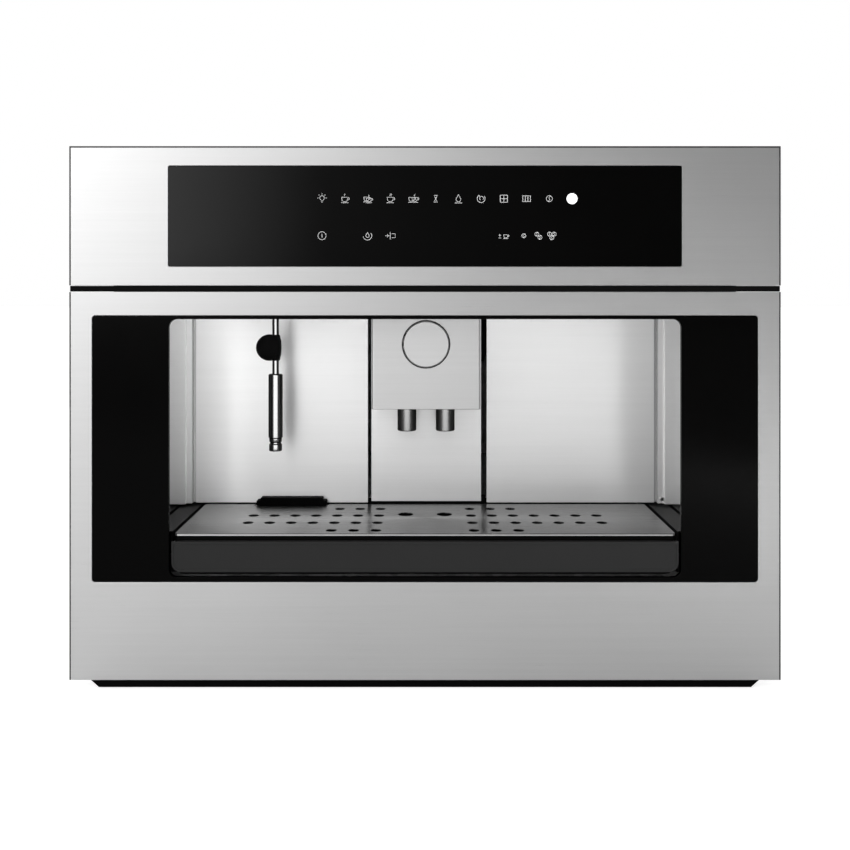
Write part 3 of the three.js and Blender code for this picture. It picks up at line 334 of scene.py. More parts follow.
CHROME = chrome("chrome", grey(68), grey(80), 0.12)
SATIN_CHROME = chrome("satin_chrome", grey(62), grey(72), 0.32)
CAST_ALUMINIUM = cast_metal("cast_aluminium", grey(150), grey(196), grain_mm=0.9)
BRASS = turned_metal("turned_brass", (0.38, 0.24, 0.07, 1), (0.6, 0.42, 0.16, 1), ring_mm=0.5)
SCREW_STEEL = turned_metal("screw_steel", grey(150), grey(205), ring_mm=0.3)
POLISHED_STEEL = chrome("polished_steel", grey(196), grey(212), 0.1)
print("bright metals: 6")

# %% [markdown]
# ## Black glass
#
# The glass is black because its back is printed. It reflects only a few parts in a hundred straight on
# and much more at a glance, which the Principled shader's own Fresnel gives. A trace of haze from
# fingers, in slow noise, keeps the reflection from looking computed.

# %% Glass and clear plastic
def black_glass(name):
    glass = Finish(name, Specular_IOR_Level=0.06)
    haze = glass.noise((22, 22, 22), detail=4.0)
    glass.varies(Base_Color=glass.mix(haze, grey(4), grey(8, 0.1)), Roughness=0.1 + 0.09 * haze)
    return glass.material


def clear_plastic(name, tint, alpha):
    plastic = Finish(name, IOR=1.5)
    ripple = plastic.noise((60, 60, 30), detail=2.0)
    plastic.varies(
        Base_Color=plastic.mix(ripple, tint, grey(220)),
        Roughness=0.12 + 0.1 * ripple,
        Alpha=alpha + 0.12 * ripple,
    )
    plastic.bump(ripple, 0.1, 0.2)
    return plastic.material


BLACK_GLASS = black_glass("black_glass")
CLEAR_PLASTIC = clear_plastic("clear_plastic", (0.28, 0.33, 0.36, 1), 0.42)
print("glass finishes: 2")

# %% [markdown]
# ## Mouldings, rubber and paint
#
# A moulding shows the spark-eroded skin of its steel mould: a fine, even pebble of about a third of a
# millimetre. Rubber is duller and its pebble finer. One function makes them all, from two close
# tones, a roughness and the size of the grain.

# %% Moulded finishes
def moulded(name, dark, light, roughness, grain_mm, depth_mm=0.03, **constants):
    skin = Finish(name, **constants)
    pebble = skin.noise((1 / (grain_mm * MM),) * 3, detail=2.0)
    wear = skin.noise((18, 18, 18), detail=3.0)
    skin.varies(
        Base_Color=skin.mix(0.5 * pebble + 0.5 * wear, dark, light),
        Roughness=roughness - 0.06 + 0.12 * wear + 0.06 * pebble,
    )
    skin.bump(pebble, 0.3, depth_mm)
    return skin.material


def glow(strength):
    return {"Emission_Color": (1, 1, 1, 1), "Emission_Strength": strength}


BLACK_PLASTIC = moulded("black_plastic", grey(18), grey(28), 0.45, grain_mm=0.35, Specular_IOR_Level=0.35)
DEEP_BLACK = moulded("deep_black", grey(2), grey(7), 0.7, grain_mm=0.35, Specular_IOR_Level=0.08)
GREY_PLASTIC = moulded("tray_grey", grey(33), grey(40), 0.5, grain_mm=0.3, Specular_IOR_Level=0.25)
DECK_PAINT = moulded(
    "deck_paint", grey(18), grey(26), 0.45, grain_mm=0.8, depth_mm=0.02, Specular_IOR_Level=0.2
)
RUBBER = moulded("rubber", grey(9), grey(17), 0.7, grain_mm=0.25, Specular_IOR_Level=0.1)
# Painted shade for the round faces of the panels' folded edges: a dark matt grey.
PAINTED_FOLD_SHADE = moulded("painted_fold_shade", grey(18), grey(30), 0.9, grain_mm=0.3, Specular_IOR_Level=0.05)
# Painted shade: a grey strip along the niche liner's corner steps, darker than its steel.
PAINTED_CORNER_SHADE = moulded("corner_step_painted_shade", grey(156), grey(172), 0.6, grain_mm=0.3, Specular_IOR_Level=0.15)
SILICONE = moulded("silicone", grey(205, 0.02), grey(232, 0.02), 0.45, grain_mm=0.6)
BOARD = moulded("board_lacquer", (0.01, 0.06, 0.03, 1), (0.02, 0.13, 0.06, 1), 0.3, grain_mm=1.2)
PRINT = moulded("white_print", grey(228), grey(248), 0.5, grain_mm=0.2, **glow(0.35))
# The symbol ink has a faint painted glow.
GLOWING_INK = moulded("symbol_ink_painted_glow", grey(176), grey(200), 0.5, grain_mm=0.2, **glow(0.12))
DIFFUSER = moulded("lamp_diffuser", grey(225), grey(245), 0.5, grain_mm=0.4, **glow(1.5))
print("moulded finishes: 12")

# %% [markdown]
# ## From bmesh to piece
#
# Each piece ends the same way: its mesh becomes an object at the origin, it takes a material, it
# rides on a body, and it may stand for a plain solid of the frame. Smooth shading
# with sharp edges above 35 degrees suits folded sheet, turned parts and mouldings alike. A Weighted
# Normal modifier lets the large faces decide, so that a long cylinder's small chamfer doesn't bend
# what its whole length mirrors.

# %% Settle a piece
SMOOTH_LIMIT = math.radians(35)


def settle(work, name, finish, solid, stands_for=True):
    """Makes the bmesh an object that rides with the given solid and, unless told not to, replaces it."""
    mesh = bpy.data.meshes.new(name)
    work.to_mesh(mesh)
    work.free()
    mesh.shade_smooth()
    mesh.set_sharp_from_angle(angle=SMOOTH_LIMIT)
    piece = bpy.data.objects.new(name, mesh)
    bpy.context.scene.collection.objects.link(piece)
    mesh.materials.append(finish)
    shading = piece.modifiers.new("flat_faces", "WEIGHTED_NORMAL")
    shading.keep_sharp = True
    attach(piece, body_of[solid])
    if stands_for:
        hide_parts(solid)
    return piece


def middle(solid):
    low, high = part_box(solid)
    return (low + high) / 2


def move(work, offset):
    bmesh.ops.translate(work, vec=offset, verts=work.verts)


def scale(work, factors):
    bmesh.ops.scale(work, vec=factors, verts=work.verts)


print("ready to settle pieces")

# %% [markdown]
# ## Round edges
#
# No real edge is perfectly sharp. A folded sheet has a radius, a moulding has a fillet, and both
# catch a line of light. The frame's solids have knife edges, so a rounded copy stands for each one that
# shows. The copy is merged first, flat triangles are dissolved into whole faces, and then only the
# sharp edges are bevelled.

# %% A rounded copy of a solid
MERGE = 1e-6
FLAT = math.radians(0.5)
SHARP = math.radians(30)


def sharp_edges(work):
    return [edge for edge in work.edges if edge.calc_face_angle(0) > SHARP]


def bevel_edges(work, edges, radius_mm, segments):
    bmesh.ops.bevel(
        work, geom=edges, offset=radius_mm * MM, offset_type="OFFSET", segments=segments,
        profile=0.5, affect="EDGES", clamp_overlap=True, material=-1,
    )


def rounded(solid, finish, slot, radius_mm):
    work = bmesh.new()
    work.from_mesh(solids[solid].data)
    bmesh.ops.remove_doubles(work, verts=work.verts, dist=MERGE)
    bmesh.ops.dissolve_limit(
        work, angle_limit=FLAT, verts=work.verts, edges=work.edges, use_dissolve_boundaries=False
    )
    bevel_edges(work, sharp_edges(work), radius_mm, 2)
    return settle(work, solid + "_rounded", finish, solid)


# %% Panels, doors and sheets
ROUNDED = [
    ("control_panel", PANEL_STEEL, "brushed_front", 0.6),
    ("lower_panel", PANEL_STEEL, "brushed_front", 0.6),
    ("dispenser_body", DISPENSER_STEEL, "brushed_front", 0.5),
    ("service_door", NICHE_STEEL, "niche_steel", 0.8),
    ("niche_liner", NICHE_STEEL, "niche_steel", 0.5),
    ("toe_strip", DEEP_BLACK, "black_plastic", 0.6),
    ("panel_seal", RUBBER, "rubber", 0.5),
    ("funnel_flap", BLACK_PLASTIC, "black_plastic", 0.5),
    ("bean_lid", CLEAR_PLASTIC, "clear_plastic", 0.5),
    ("tank_lid", BLACK_PLASTIC, "black_plastic", 0.5),
    ("grounds_bin", BLACK_PLASTIC, "black_plastic", 0.4),
    ("tray_basin", BLACK_PLASTIC, "black_plastic", 0.5),
    ("dispenser_carrier", BLACK_PLASTIC, "black_plastic", 0.5),
    ("mains_inlet", BLACK_PLASTIC, "black_plastic", 0.4),
    ("brew_frame", BLACK_PLASTIC, "black_plastic", 0.5),
    ("coffee_boiler", CAST_ALUMINIUM, "cast_aluminium", 0.6),
]
fronted = {row[0]: rounded(*row) for row in ROUNDED}
print("rounded copies:", len(fronted))

# %% [markdown]
# A few faces of these copies have another finish than the rest: the service door's hinge ears are painted
# black as the shade of the gap beside the door, the niche liner's corner steps get a grey strip of painted
# shade, its side walls get the steel brushed along them in a darker tone of painted shade, and the panels'
# folded edges get painted shade in a dark matt grey. The faces are found by where they are and get one
# more material of their mesh.
# The seal between the panels is drawn out by half a millimetre at each end, until it meets their edges.

# %% Second finishes
def second_finish(piece, finish, chosen):
    piece.data.materials.append(finish)
    faces = [face for face in piece.data.polygons if chosen(face)]
    for face in faces:
        face.material_index = len(piece.data.materials) - 1
    return len(faces)


DOOR_RIGHT = 54.3 * MM
JOINT_X = (221.2 * MM, 225.4 * MM)
JOINT_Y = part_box("service_door")[0].y
SIDE_WALL_X = 226 * MM


def is_ear(face):
    return face.center.x > DOOR_RIGHT


def is_joint(face):
    return JOINT_X[0] < abs(face.center.x) < JOINT_X[1] and face.center.y > JOINT_Y


def is_side_wall(face):
    return abs(face.center.x) > SIDE_WALL_X and abs(face.normal.x) > 0.9


def is_fold(face):
    near_side = abs(face.center.x) > machine_high.x - FOLD
    near_top = face.center.z > machine_high.z - FOLD
    return (near_side or near_top) and face.center.y < FRONT + FOLD and abs(face.normal.y) < 0.98


# The hinge ears are painted black as the shade of the gap beside the door.
print("hinge ear faces:", second_finish(fronted["service_door"], DEEP_BLACK, is_ear))
# The liner's corner steps get their grey strip of painted shade.
print("joint faces:", second_finish(fronted["niche_liner"], PAINTED_CORNER_SHADE, is_joint))
# The side walls of the liner get the darker steel of painted shade.
print("side wall faces:", second_finish(fronted["niche_liner"], SHADED_SIDE_STEEL, is_side_wall))
# The round faces of each panel's folded edge get painted shade.
for panel in ("control_panel", "lower_panel"):
    print(panel, "fold faces:", second_finish(fronted[panel], PAINTED_FOLD_SHADE, is_fold))
seal_growth = machine_high.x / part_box("panel_seal")[1].x
for vertex in fronted["panel_seal"].data.vertices:
    vertex.co.x *= seal_growth

# %% [markdown]
# ## Turned pieces
#
# Spouts, disc and the wand's tube, sleeve and nozzle come off a lathe. Blender turns in the same way:
# half of the section is drawn as a chain of edges, and spin carries it round its axis. With use_merge
# the last turn closes onto the first, and merging doubles closes the poles.

# %% Spin a profile
def lathe(profile, centre, axis="Z", steps=64):
    """profile: (radius, height) pairs in millimetres, from bottom to top, heights along the axis."""
    work = bmesh.new()
    chain = [work.verts.new((radius * MM, 0, height * MM)) for radius, height in profile]
    edges = [work.edges.new(pair) for pair in zip(chain, chain[1:])]
    bmesh.ops.spin(
        work, geom=chain + edges, cent=(0, 0, 0), axis=(0, 0, 1), dvec=(0, 0, 0),
        angle=math.tau, steps=steps, use_merge=True, use_normal_flip=False, use_duplicate=False,
    )
    bmesh.ops.remove_doubles(work, verts=work.verts, dist=MERGE)
    bmesh.ops.recalc_face_normals(work, faces=work.faces)
    turn = Matrix.Rotation(math.radians(90), 4, "X") if axis == "Y" else Matrix.Identity(4)
    bmesh.ops.transform(work, matrix=Matrix.Translation(centre) @ turn, verts=work.verts)
    return work


def turned_size(solid):
    """The radius and the height of an upright turned solid, in millimetres."""
    low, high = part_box(solid)
    return (high.x - low.x) / 2 / MM, (high.z - low.z) / MM


def turned(solid, profile, finish, axis_of=None):
    """Stands a turned copy on the solid's foot, round its own axis or round another solid's."""
    axis = middle(axis_of or solid)
    foot = Vector((axis.x, axis.y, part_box(solid)[0].z))
    settle(lathe(profile, foot), solid + "_turned", finish, solid)


# %% The wand's bright parts
TUBE = 3.0
BALL, tube_rise = turned_size("wand_tube")
ball_arc = [
    (BALL * math.sin(turn), tube_rise - BALL - BALL * math.cos(turn))
    for turn in [math.radians(degrees) for degrees in range(40, 181, 14)]
]
turned("wand_tube", [(0, 0), (TUBE, 0), (TUBE, tube_rise - 2 * BALL + 0.6), *ball_arc], CHROME)

SLEEVE, sleeve_rise = turned_size("wand_sleeve")
turned("wand_sleeve", [
    (TUBE + 0.2, 0), (SLEEVE - 0.8, 0), (SLEEVE - 0.25, 0.35), (SLEEVE, 1.0),
    (SLEEVE, sleeve_rise - 1.2), (SLEEVE - 0.3, sleeve_rise - 0.5), (SLEEVE - 1, sleeve_rise - 0.1),
    (SLEEVE - 1.8, sleeve_rise), (TUBE + 0.2, sleeve_rise), (TUBE + 0.2, 0),
], CHROME, "wand_tube")
turned("wand_nozzle", [
    (0, 5), (1, 5), (1, 0), (4.9, 0), (5.6, 0.3), (5.9, 0.9), (5.9, 5.8), (5.5, 6.5), (4.9, 7),
    (4.9, 7.9), (5.4, 8.4), (5.7, 8.9), (5.7, 11.7), (0, 11.7),
], CHROME, "wand_tube")
print("wand sleeve radius:", round(SLEEVE, 2), "mm")

# %% Spouts and disc
for hand in ("left", "right"):
    solid = "spout_" + hand
    outer, rise = turned_size(solid)
    turned(solid, [
        (5.4, 0.4), (5.8, 0), (outer - 1, 0), (outer - 0.3, 0.3), (outer, 1), (outer, rise),
        (3.5, rise), (3.5, rise - 9), (5.4, rise - 13), (5.4, 0.4),
    ], SATIN_CHROME)

disc_low, disc_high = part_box("dispenser_disc")
disc_centre = middle("dispenser_disc")
DISC = (disc_high.x - disc_low.x) / 2 / MM
disc_profile = [(0, 0), (DISC, 0), (DISC, 2.2), (DISC - 1.0, 3.2), (0, 3.2)]
disc_work = lathe(disc_profile, Vector((disc_centre.x, disc_high.y, disc_centre.z)), "Y", 96)
disc = settle(disc_work, "disc_turned", DISC_STEEL, "dispenser_disc")
second_finish(disc, POLISHED_STEEL, lambda face: 0.3 < abs(face.normal.y) < 0.95)
print("disc radius:", round(DISC, 2), "mm")

# %% [markdown]
# ## The rubber grip
#
# The grip is a soft lobe that fingers can hold while the wand is hot. It is a sphere flattened a little
# and cut off past the tube, a rounded block fills it out on that side, and a barrel-shaped sleeve closes
# round the tube. The cut's rim is bevelled, so that nothing on the rubber is sharp.

# %% Grip
grip_low, grip_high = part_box("wand_grip")
tube_x, tube_y, _ = middle("wand_tube")
flat_x = grip_high.x

lobe = bmesh.new()
bmesh.ops.create_uvsphere(lobe, u_segments=32, v_segments=20, radius=1)
lobe_half = Vector((12.4, 8.5, 12.2)) * MM
scale(lobe, lobe_half)
lobe_middle = Vector((grip_low.x + lobe_half.x, tube_y, (grip_low.z + grip_high.z) / 2))
move(lobe, lobe_middle)
cut = bmesh.ops.bisect_plane(
    lobe, geom=lobe.verts[:] + lobe.edges[:] + lobe.faces[:], dist=1e-7,
    plane_co=(flat_x - 0.4 * MM, 0, 0), plane_no=(1, 0, 0), clear_outer=True,
)
rim = [edge for edge in cut["geom_cut"] if isinstance(edge, bmesh.types.BMEdge)]
bmesh.ops.holes_fill(lobe, edges=rim, sides=0)
bevel_edges(lobe, sharp_edges(lobe), 1.1, 4)
bmesh.ops.recalc_face_normals(lobe, faces=lobe.faces)
settle(lobe, "grip_lobe", RUBBER, "wand_grip")

grip_back = bmesh.new()
bmesh.ops.create_cube(grip_back, size=1)
back_left = lobe_middle.x
back_size = Vector((flat_x - back_left, 11.6 * MM, 22.8 * MM))
scale(grip_back, back_size)
move(grip_back, ((back_left + flat_x) / 2, tube_y, lobe_middle.z))
right_edges = [edge for edge in grip_back.edges if max(v.co.x for v in edge.verts) > back_left + 1 * MM]
bevel_edges(grip_back, right_edges, 5.6, 6)
settle(grip_back, "grip_back", RUBBER, "wand_grip", stands_for=False)

collar_profile = [
    (TUBE + 0.2, -11.9), (3.5, -11.9), (4.1, -10.8), (4.5, -8.6), (4.7, -6), (4.7, 6), (4.5, 8.6),
    (4.1, 10.8), (3.5, 11.9), (TUBE + 0.2, 11.9), (TUBE + 0.2, -11.9),
]
grip_sleeve = lathe(collar_profile, Vector((tube_x, tube_y, lobe_middle.z)), steps=48)
settle(grip_sleeve, "grip_sleeve", RUBBER, "wand_grip", stands_for=False)
print("grip height:", round((grip_high.z - grip_low.z) / MM, 1), "mm")

# %% [markdown]
# ## Flat plates from outlines
#
# Glass, grille and tray front are plates with round corners and holes. A flat curve is the quickest
# way to such a plate: each outline is one closed spline, Blender fills between them, and the curve's own
# extrude and bevel give the thickness and the ground edge. The curve is made a mesh at once.

# %% Outline helpers
def arc(cx, cz, radius, start, end, steps=14):
    angles = [math.radians(start + (end - start) * step / steps) for step in range(steps + 1)]
    return [(cx + radius * math.cos(angle), cz + radius * math.sin(angle)) for angle in angles]


def round_rectangle(left, right, low, high, radius, steps=10):
    corners = [(right, high, 0), (left, high, 90), (left, low, 180), (right, low, 270)]
    points = []
    for x, z, start in corners:
        cx = x - radius if x == right else x + radius
        cz = z - radius if z == high else z + radius
        points += arc(cx, cz, radius, start, start + 90, steps)
    return points


def hanging_rectangle(left, right, low, high, radius):
    """Only the lower corners are round."""
    around = round_rectangle(left, right, low, high, radius)
    return [(right, high), (left, high)] + [(x, z) for x, z in around if z <= low + radius + MERGE]


def circle(x, z, radius, steps=32):
    turns = [math.tau * step / steps for step in range(steps)]
    return [(x + radius * math.cos(turn), z + radius * math.sin(turn)) for turn in turns]


def add_line(curve, points, closed=False):
    spline = curve.splines.new("POLY")
    spline.points.add(len(points) - 1)
    spline.use_cyclic_u = closed
    for point, place in zip(spline.points, points):
        point.co = (*place, 1)


def curve_to_bmesh(curve):
    """The curve with its fill and bevel as a bmesh. The curve itself goes."""
    holder = bpy.data.objects.new("curve", curve)
    bpy.context.scene.collection.objects.link(holder)
    bpy.context.view_layer.update()
    shape = bpy.data.meshes.new_from_object(holder.evaluated_get(bpy.context.evaluated_depsgraph_get()))
    work = bmesh.new()
    work.from_mesh(shape)
    bpy.data.objects.remove(holder)
    bpy.data.meshes.remove(shape)
    bpy.data.curves.remove(curve)
    return work


def plate(outlines, thickness_mm, edge_mm, edge_steps=2):
    """A bmesh in the XY plane, from z = 0 to the thickness, filled between the outlines."""
    curve = bpy.data.curves.new("outline", "CURVE")
    curve.dimensions = "2D"
    curve.fill_mode = "BOTH"
    curve.extrude = thickness_mm * MM / 2 - edge_mm * MM
    curve.bevel_depth = edge_mm * MM
    curve.bevel_resolution = edge_steps
    curve.offset = -edge_mm * MM
    for outline in outlines:
        add_line(curve, [(x, y, 0) for x, y in outline], closed=True)
    work = curve_to_bmesh(curve)
    bmesh.ops.remove_doubles(work, verts=work.verts, dist=MERGE)
    bmesh.ops.recalc_face_normals(work, faces=work.faces)
    move(work, (0, 0, thickness_mm * MM / 2))
    return work


def stand_up(work, back_y):
    """Turns a plate drawn as (x, z) so that it faces the front, with its rear face at back_y."""
    upright = Matrix.Translation((0, back_y, 0)) @ Matrix.Rotation(math.radians(90), 4, "X")
    bmesh.ops.transform(work, matrix=upright, verts=work.verts)
    return work


# %% Both black glasses
glass_low, glass_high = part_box("control_glass")
glass_thickness = (glass_high.y - glass_low.y) / MM
control_outline = round_rectangle(glass_low.x, glass_high.x, glass_low.z, glass_high.z, 1.5 * MM)
control_glass = stand_up(plate([control_outline], glass_thickness, 0.35), glass_high.y)
settle(control_glass, "control_glass_ground", BLACK_GLASS, "control_glass")

window_low, window_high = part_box("window_glass")
WINDOW_HALF = 215 * MM
WINDOW_SILL = 93.2 * MM
WINDOW_HEAD = 309.8 * MM
window_outline = round_rectangle(window_low.x, window_high.x, window_low.z, window_high.z, 2.8 * MM)
opening_outline = round_rectangle(-WINDOW_HALF, WINDOW_HALF, WINDOW_SILL, WINDOW_HEAD, 7 * MM)
window_glass = stand_up(plate([window_outline, opening_outline], glass_thickness, 0.35), window_high.y)
settle(window_glass, "window_glass_ground", BLACK_GLASS, "window_glass")
print("glass:", round(glass_thickness, 2), "mm thick")

# %% [markdown]
# ## Symbols on the control glass
#
# The touch fields are marked by small pale pictograms printed on the glass. They are drawn here
# as strokes on a 10 mm field: beans, cups, a drop, a bulb and a power ring. Each stroke is a short
# curve with a round section, pressed nearly flat, so it reads as ink, and the ink has a faint
# painted glow. The last field is a lit disc.

# %% Symbol strokes, in millimetres about the middle of a field
def shifted(lines, dx, dz, size=1.0):
    return [[(size * x + dx, size * z + dz) for x, z in line] for line in lines]


POWER = [arc(0, 0, 3.4, 0, 360), [(0, -1.7), (0, 1.7)]]
BULB = [arc(0, 0.6, 1.9, -60, 240), [(-0.9, -1.8), (0.9, -1.8)], [(-0.6, -2.8), (0.6, -2.8)]] + [
    [(3.0 * math.cos(a), 0.6 + 3.0 * math.sin(a)), (3.9 * math.cos(a), 0.6 + 3.9 * math.sin(a))]
    for a in [math.radians(45 * turn) for turn in range(5)]
]
CUP = [
    [(-2.6, 1.2), (-2.2, -1.4), (-1.2, -2.4), (1.2, -2.4), (2.2, -1.4), (2.6, 1.2), (-2.6, 1.2)],
    arc(2.7, -0.1, 1.1, -80, 80),
    [(-3.0, -3.4), (3.0, -3.4)],
]
STEAM = [[(0.0, 2.2), (-0.5, 2.9), (0.3, 3.5), (-0.1, 4.2)]]
BEAN = [arc(0, 0, 1.7, 0, 360), [(0.7, 1.5), (-0.3, 0.6), (0.3, -0.6), (-0.7, -1.5)]]
DROP = [[(0, 3.4), (-1.2, 1.2)] + arc(0, -0.6, 2.0, 150, 390) + [(1.2, 1.2), (0, 3.4)]]
GRID = [[(x, -3), (x, 3)] for x in (-3, 0, 3)] + [[(-3, z), (3, z)] for z in (-3, 0, 3)]
BARS = [[(x, -2.4), (x, 2.4)] for x in (-3.2, -1.1, 1.1, 3.2)]
BARS += [[(-3.6, z), (3.6, z)] for z in (-2.4, 2.4)]
RINSE = [
    [(-4.2, 0), (-1.4, 0)], [(-2.6, 1.2), (-1.2, 0), (-2.6, -1.2)], [(0, -3), (0, 3)],
    [(1.2, 1.7), (4.2, 1.7), (4.2, -1.7), (1.2, -1.7)],
]
CROSSED = [
    arc(-2.6, 0, 2.4, -50, 50), arc(2.6, 0, 2.4, 130, 230),
    [(-1.6, 2.8), (1.6, 2.8)], [(-1.6, -2.8), (1.6, -2.8)],
]
SWIRL = [arc(0, 0, 3.3, 120, 400), arc(0.4, 0.2, 1.7, -40, 230), [(-2.6, 3.0), (-1.5, 2.6), (-1.6, 1.4)]]
PLUS_MINUS = [[(-4.4, 0.4), (-2.4, 0.4)], [(-3.4, 1.4), (-3.4, -0.6)], [(-4.4, -1.8), (-2.4, -1.8)]]

# %% Where each symbol stands
FIELD_PITCH = 19.07
FIRST_FIELD = -86.4
UPPER_ROW = 410.9
LOWER_ROW = 379.8
upper_row = [
    BULB, CUP + STEAM, shifted(CUP, -0.9, 0.3, 0.85) + shifted(CUP + STEAM, 1.2, -0.5, 0.85),
    CUP + STEAM + shifted(STEAM, 1, 0), shifted(CUP, -1.2, 0, 0.9) + shifted(CUP + STEAM, 1.5, 0, 0.9),
    CROSSED, DROP + [[(-3, -3.6), (3, -3.6)]], SWIRL, GRID, BARS, shifted(BEAN, 0, 0, 1.5),
]
lower_row = [
    (0, POWER), (2, shifted(DROP, 0, 0.4, 0.7) + [arc(0, 0, 3.6, 190, 400)]), (3, RINSE),
    (8, PLUS_MINUS + shifted(CUP, 1.6, 0, 0.7)), (8.88, BEAN),
    (9.52, shifted(BEAN, -1.3, 1.3) + shifted(BEAN, 1.3, -1.3)),
    (10.11, shifted(BEAN, -1.9, 1.4) + shifted(BEAN, 1.9, 1.4) + shifted(BEAN, 0, -1.7)),
]
symbol_lines = []
for field, lines in enumerate(upper_row):
    symbol_lines += shifted(lines, FIRST_FIELD + FIELD_PITCH * field, UPPER_ROW)
for field, lines in lower_row:
    symbol_lines += shifted(lines, FIRST_FIELD + FIELD_PITCH * field, LOWER_ROW)
print("symbol strokes:", len(symbol_lines))

# %% Print the symbols
INK_SHARE = 0.1
LIT_FIELD = FIRST_FIELD + FIELD_PITCH * len(upper_row)
LIT_RADIUS = 4.6


def printed(lines, width_mm, y):
    curve = bpy.data.curves.new("strokes", "CURVE")
    curve.dimensions = "3D"
    curve.bevel_depth = width_mm * MM / 2
    curve.bevel_resolution = 1
    curve.use_fill_caps = True
    for line in lines:
        add_line(curve, [(x * MM, 0, z * MM) for x, z in line])
    work = curve_to_bmesh(curve)
    scale(work, (1, INK_SHARE, 1))
    move(work, (0, y, 0))
    return work


symbols = printed(symbol_lines, 0.45, glass_low.y)
settle(symbols, "symbols", GLOWING_INK, "control_glass", stands_for=False)
lit_disc = plate([circle(LIT_FIELD * MM, UPPER_ROW * MM, LIT_RADIUS * MM)], 0.1, 0.02, 1)
lit_disc = stand_up(lit_disc, glass_low.y + 0.04 * MM)
settle(lit_disc, "lit_field", PRINT, "control_glass", stands_for=False)

# %% [markdown]
# ## Rinse gutter
#
# Under the wand a black lip leads rinse water into the tray. Its ends step down to two low ears, so its
# outline is drawn point by point and made a plate.

# %% Gutter
gutter_low, gutter_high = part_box("rinse_gutter")


def ear(sign, edge):
    """One end of the gutter, from its top corner down: the body's shoulder, the ear, the foot."""
    steps = [
        (4.4, 0), (3.6, 0.9), (3.6, 2.6), (0.6, 2.6), (0, 3.2), (0, 7.2), (0.6, 7.8), (2.8, 7.8),
        (2.8, 10.5),
    ]
    return [(edge + sign * dx * MM, gutter_high.z - dz * MM) for dx, dz in steps]


gutter_outline = ear(1, gutter_low.x)[::-1] + ear(-1, gutter_high.x)
gutter_depth = (gutter_high.y - gutter_low.y) / MM
gutter = stand_up(plate([gutter_outline], gutter_depth, 0.25), gutter_high.y)
settle(gutter, "gutter_lip", DEEP_BLACK, "rinse_gutter")
print("gutter:", round((gutter_high.x - gutter_low.x) / MM, 1), "mm wide")

# %% [markdown]
# ## Drip grille and tray front
#
# The grille is a sheet pan turned upside down: a thin plate over a rolled rim and a skirt,
# pierced with round holes in rows of three and seven on each side, and two larger ones under the spouts.
# The rim is a lighter steel as a painted highlight, and the skirt is near black as painted shade of the
# gap below it.
# The holes are spread by the same pitch in every row, so a loop lays them out. The tray's front is a
# deep grey moulding with a fine raised border.

# %% Grille
grille_low, grille_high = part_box("drip_grille")
HOLE_PITCH = 19.1 * MM
ROW_PITCH = 27.2 * MM
FIRST_HOLE = 42 * MM
FRONT_ROW = -183.1 * MM
HOLES_IN_ROW = [3, 7, 7, 3]
HOLE_RADIUS = 4.7 * MM
SPOUT_HOLE_RADIUS = 7.1 * MM
SPOUT_HOLE_Y = -123.7 * MM
NOTCH_LEFT, NOTCH_RIGHT, NOTCH_DEPTH = -163.5 * MM, -92.5 * MM, 9 * MM
CORNER = 3 * MM
SHEET = 0.8
RIM = 1.3
RIM_WIDTH = 1.2 * MM


def grille_edge(inset):
    """The grille's outline seen from above, drawn in by the inset."""
    return round_rectangle(
        grille_low.x + inset, grille_high.x - inset, grille_low.y + inset, grille_high.y - inset,
        CORNER - inset, steps=6,
    )


def lay(work, z, name, finish, stands_for=False):
    move(work, (0, 0, z))
    settle(work, name, finish, "drip_grille", stands_for)


edge_points = grille_edge(0)
rear = max(y for _, y in edge_points)
split = next(i for i, (x, y) in enumerate(edge_points) if y == rear and x < 0)
notch = [
    (NOTCH_RIGHT, rear), (NOTCH_RIGHT, rear - NOTCH_DEPTH),
    (NOTCH_LEFT, rear - NOTCH_DEPTH), (NOTCH_LEFT, rear),
]
grille_outline = edge_points[:split] + notch + edge_points[split:]
holes = [
    circle(side * (FIRST_HOLE + HOLE_PITCH * i), FRONT_ROW + ROW_PITCH * row, HOLE_RADIUS, 24)
    for row, count in enumerate(HOLES_IN_ROW) for i in range(count) for side in (-1, 1)
]
for hand in ("left", "right"):
    spout_x = middle("spout_" + hand).x - middle("dispenser_disc").x
    holes.append(circle(spout_x, SPOUT_HOLE_Y, SPOUT_HOLE_RADIUS))
grille_top = plate([grille_outline] + holes, SHEET, 0.2)
lay(grille_top, grille_high.z - SHEET * MM, "grille_top", GRILLE_STEEL, stands_for=True)
print("grille holes:", len(holes))

# %% Grille rim and skirt
rim_outlines = [grille_edge(0), grille_edge(RIM_WIDTH)]
# The rim is painted lighter than the grille's top: a painted highlight.
lay(plate(rim_outlines, RIM, 0.3), grille_high.z - (SHEET + RIM) * MM, "grille_rim_painted_highlight", RIM_HIGHLIGHT_STEEL)
skirt_rise = (grille_high.z - grille_low.z) / MM - SHEET - RIM
# The skirt is painted near black: painted shade of the gap between the grille and the tray front.
lay(plate(rim_outlines, skirt_rise, 0.1, 1), grille_low.z, "grille_skirt_painted_shade", DEEP_BLACK)
print("grille skirt:", round(skirt_rise, 2), "mm high")

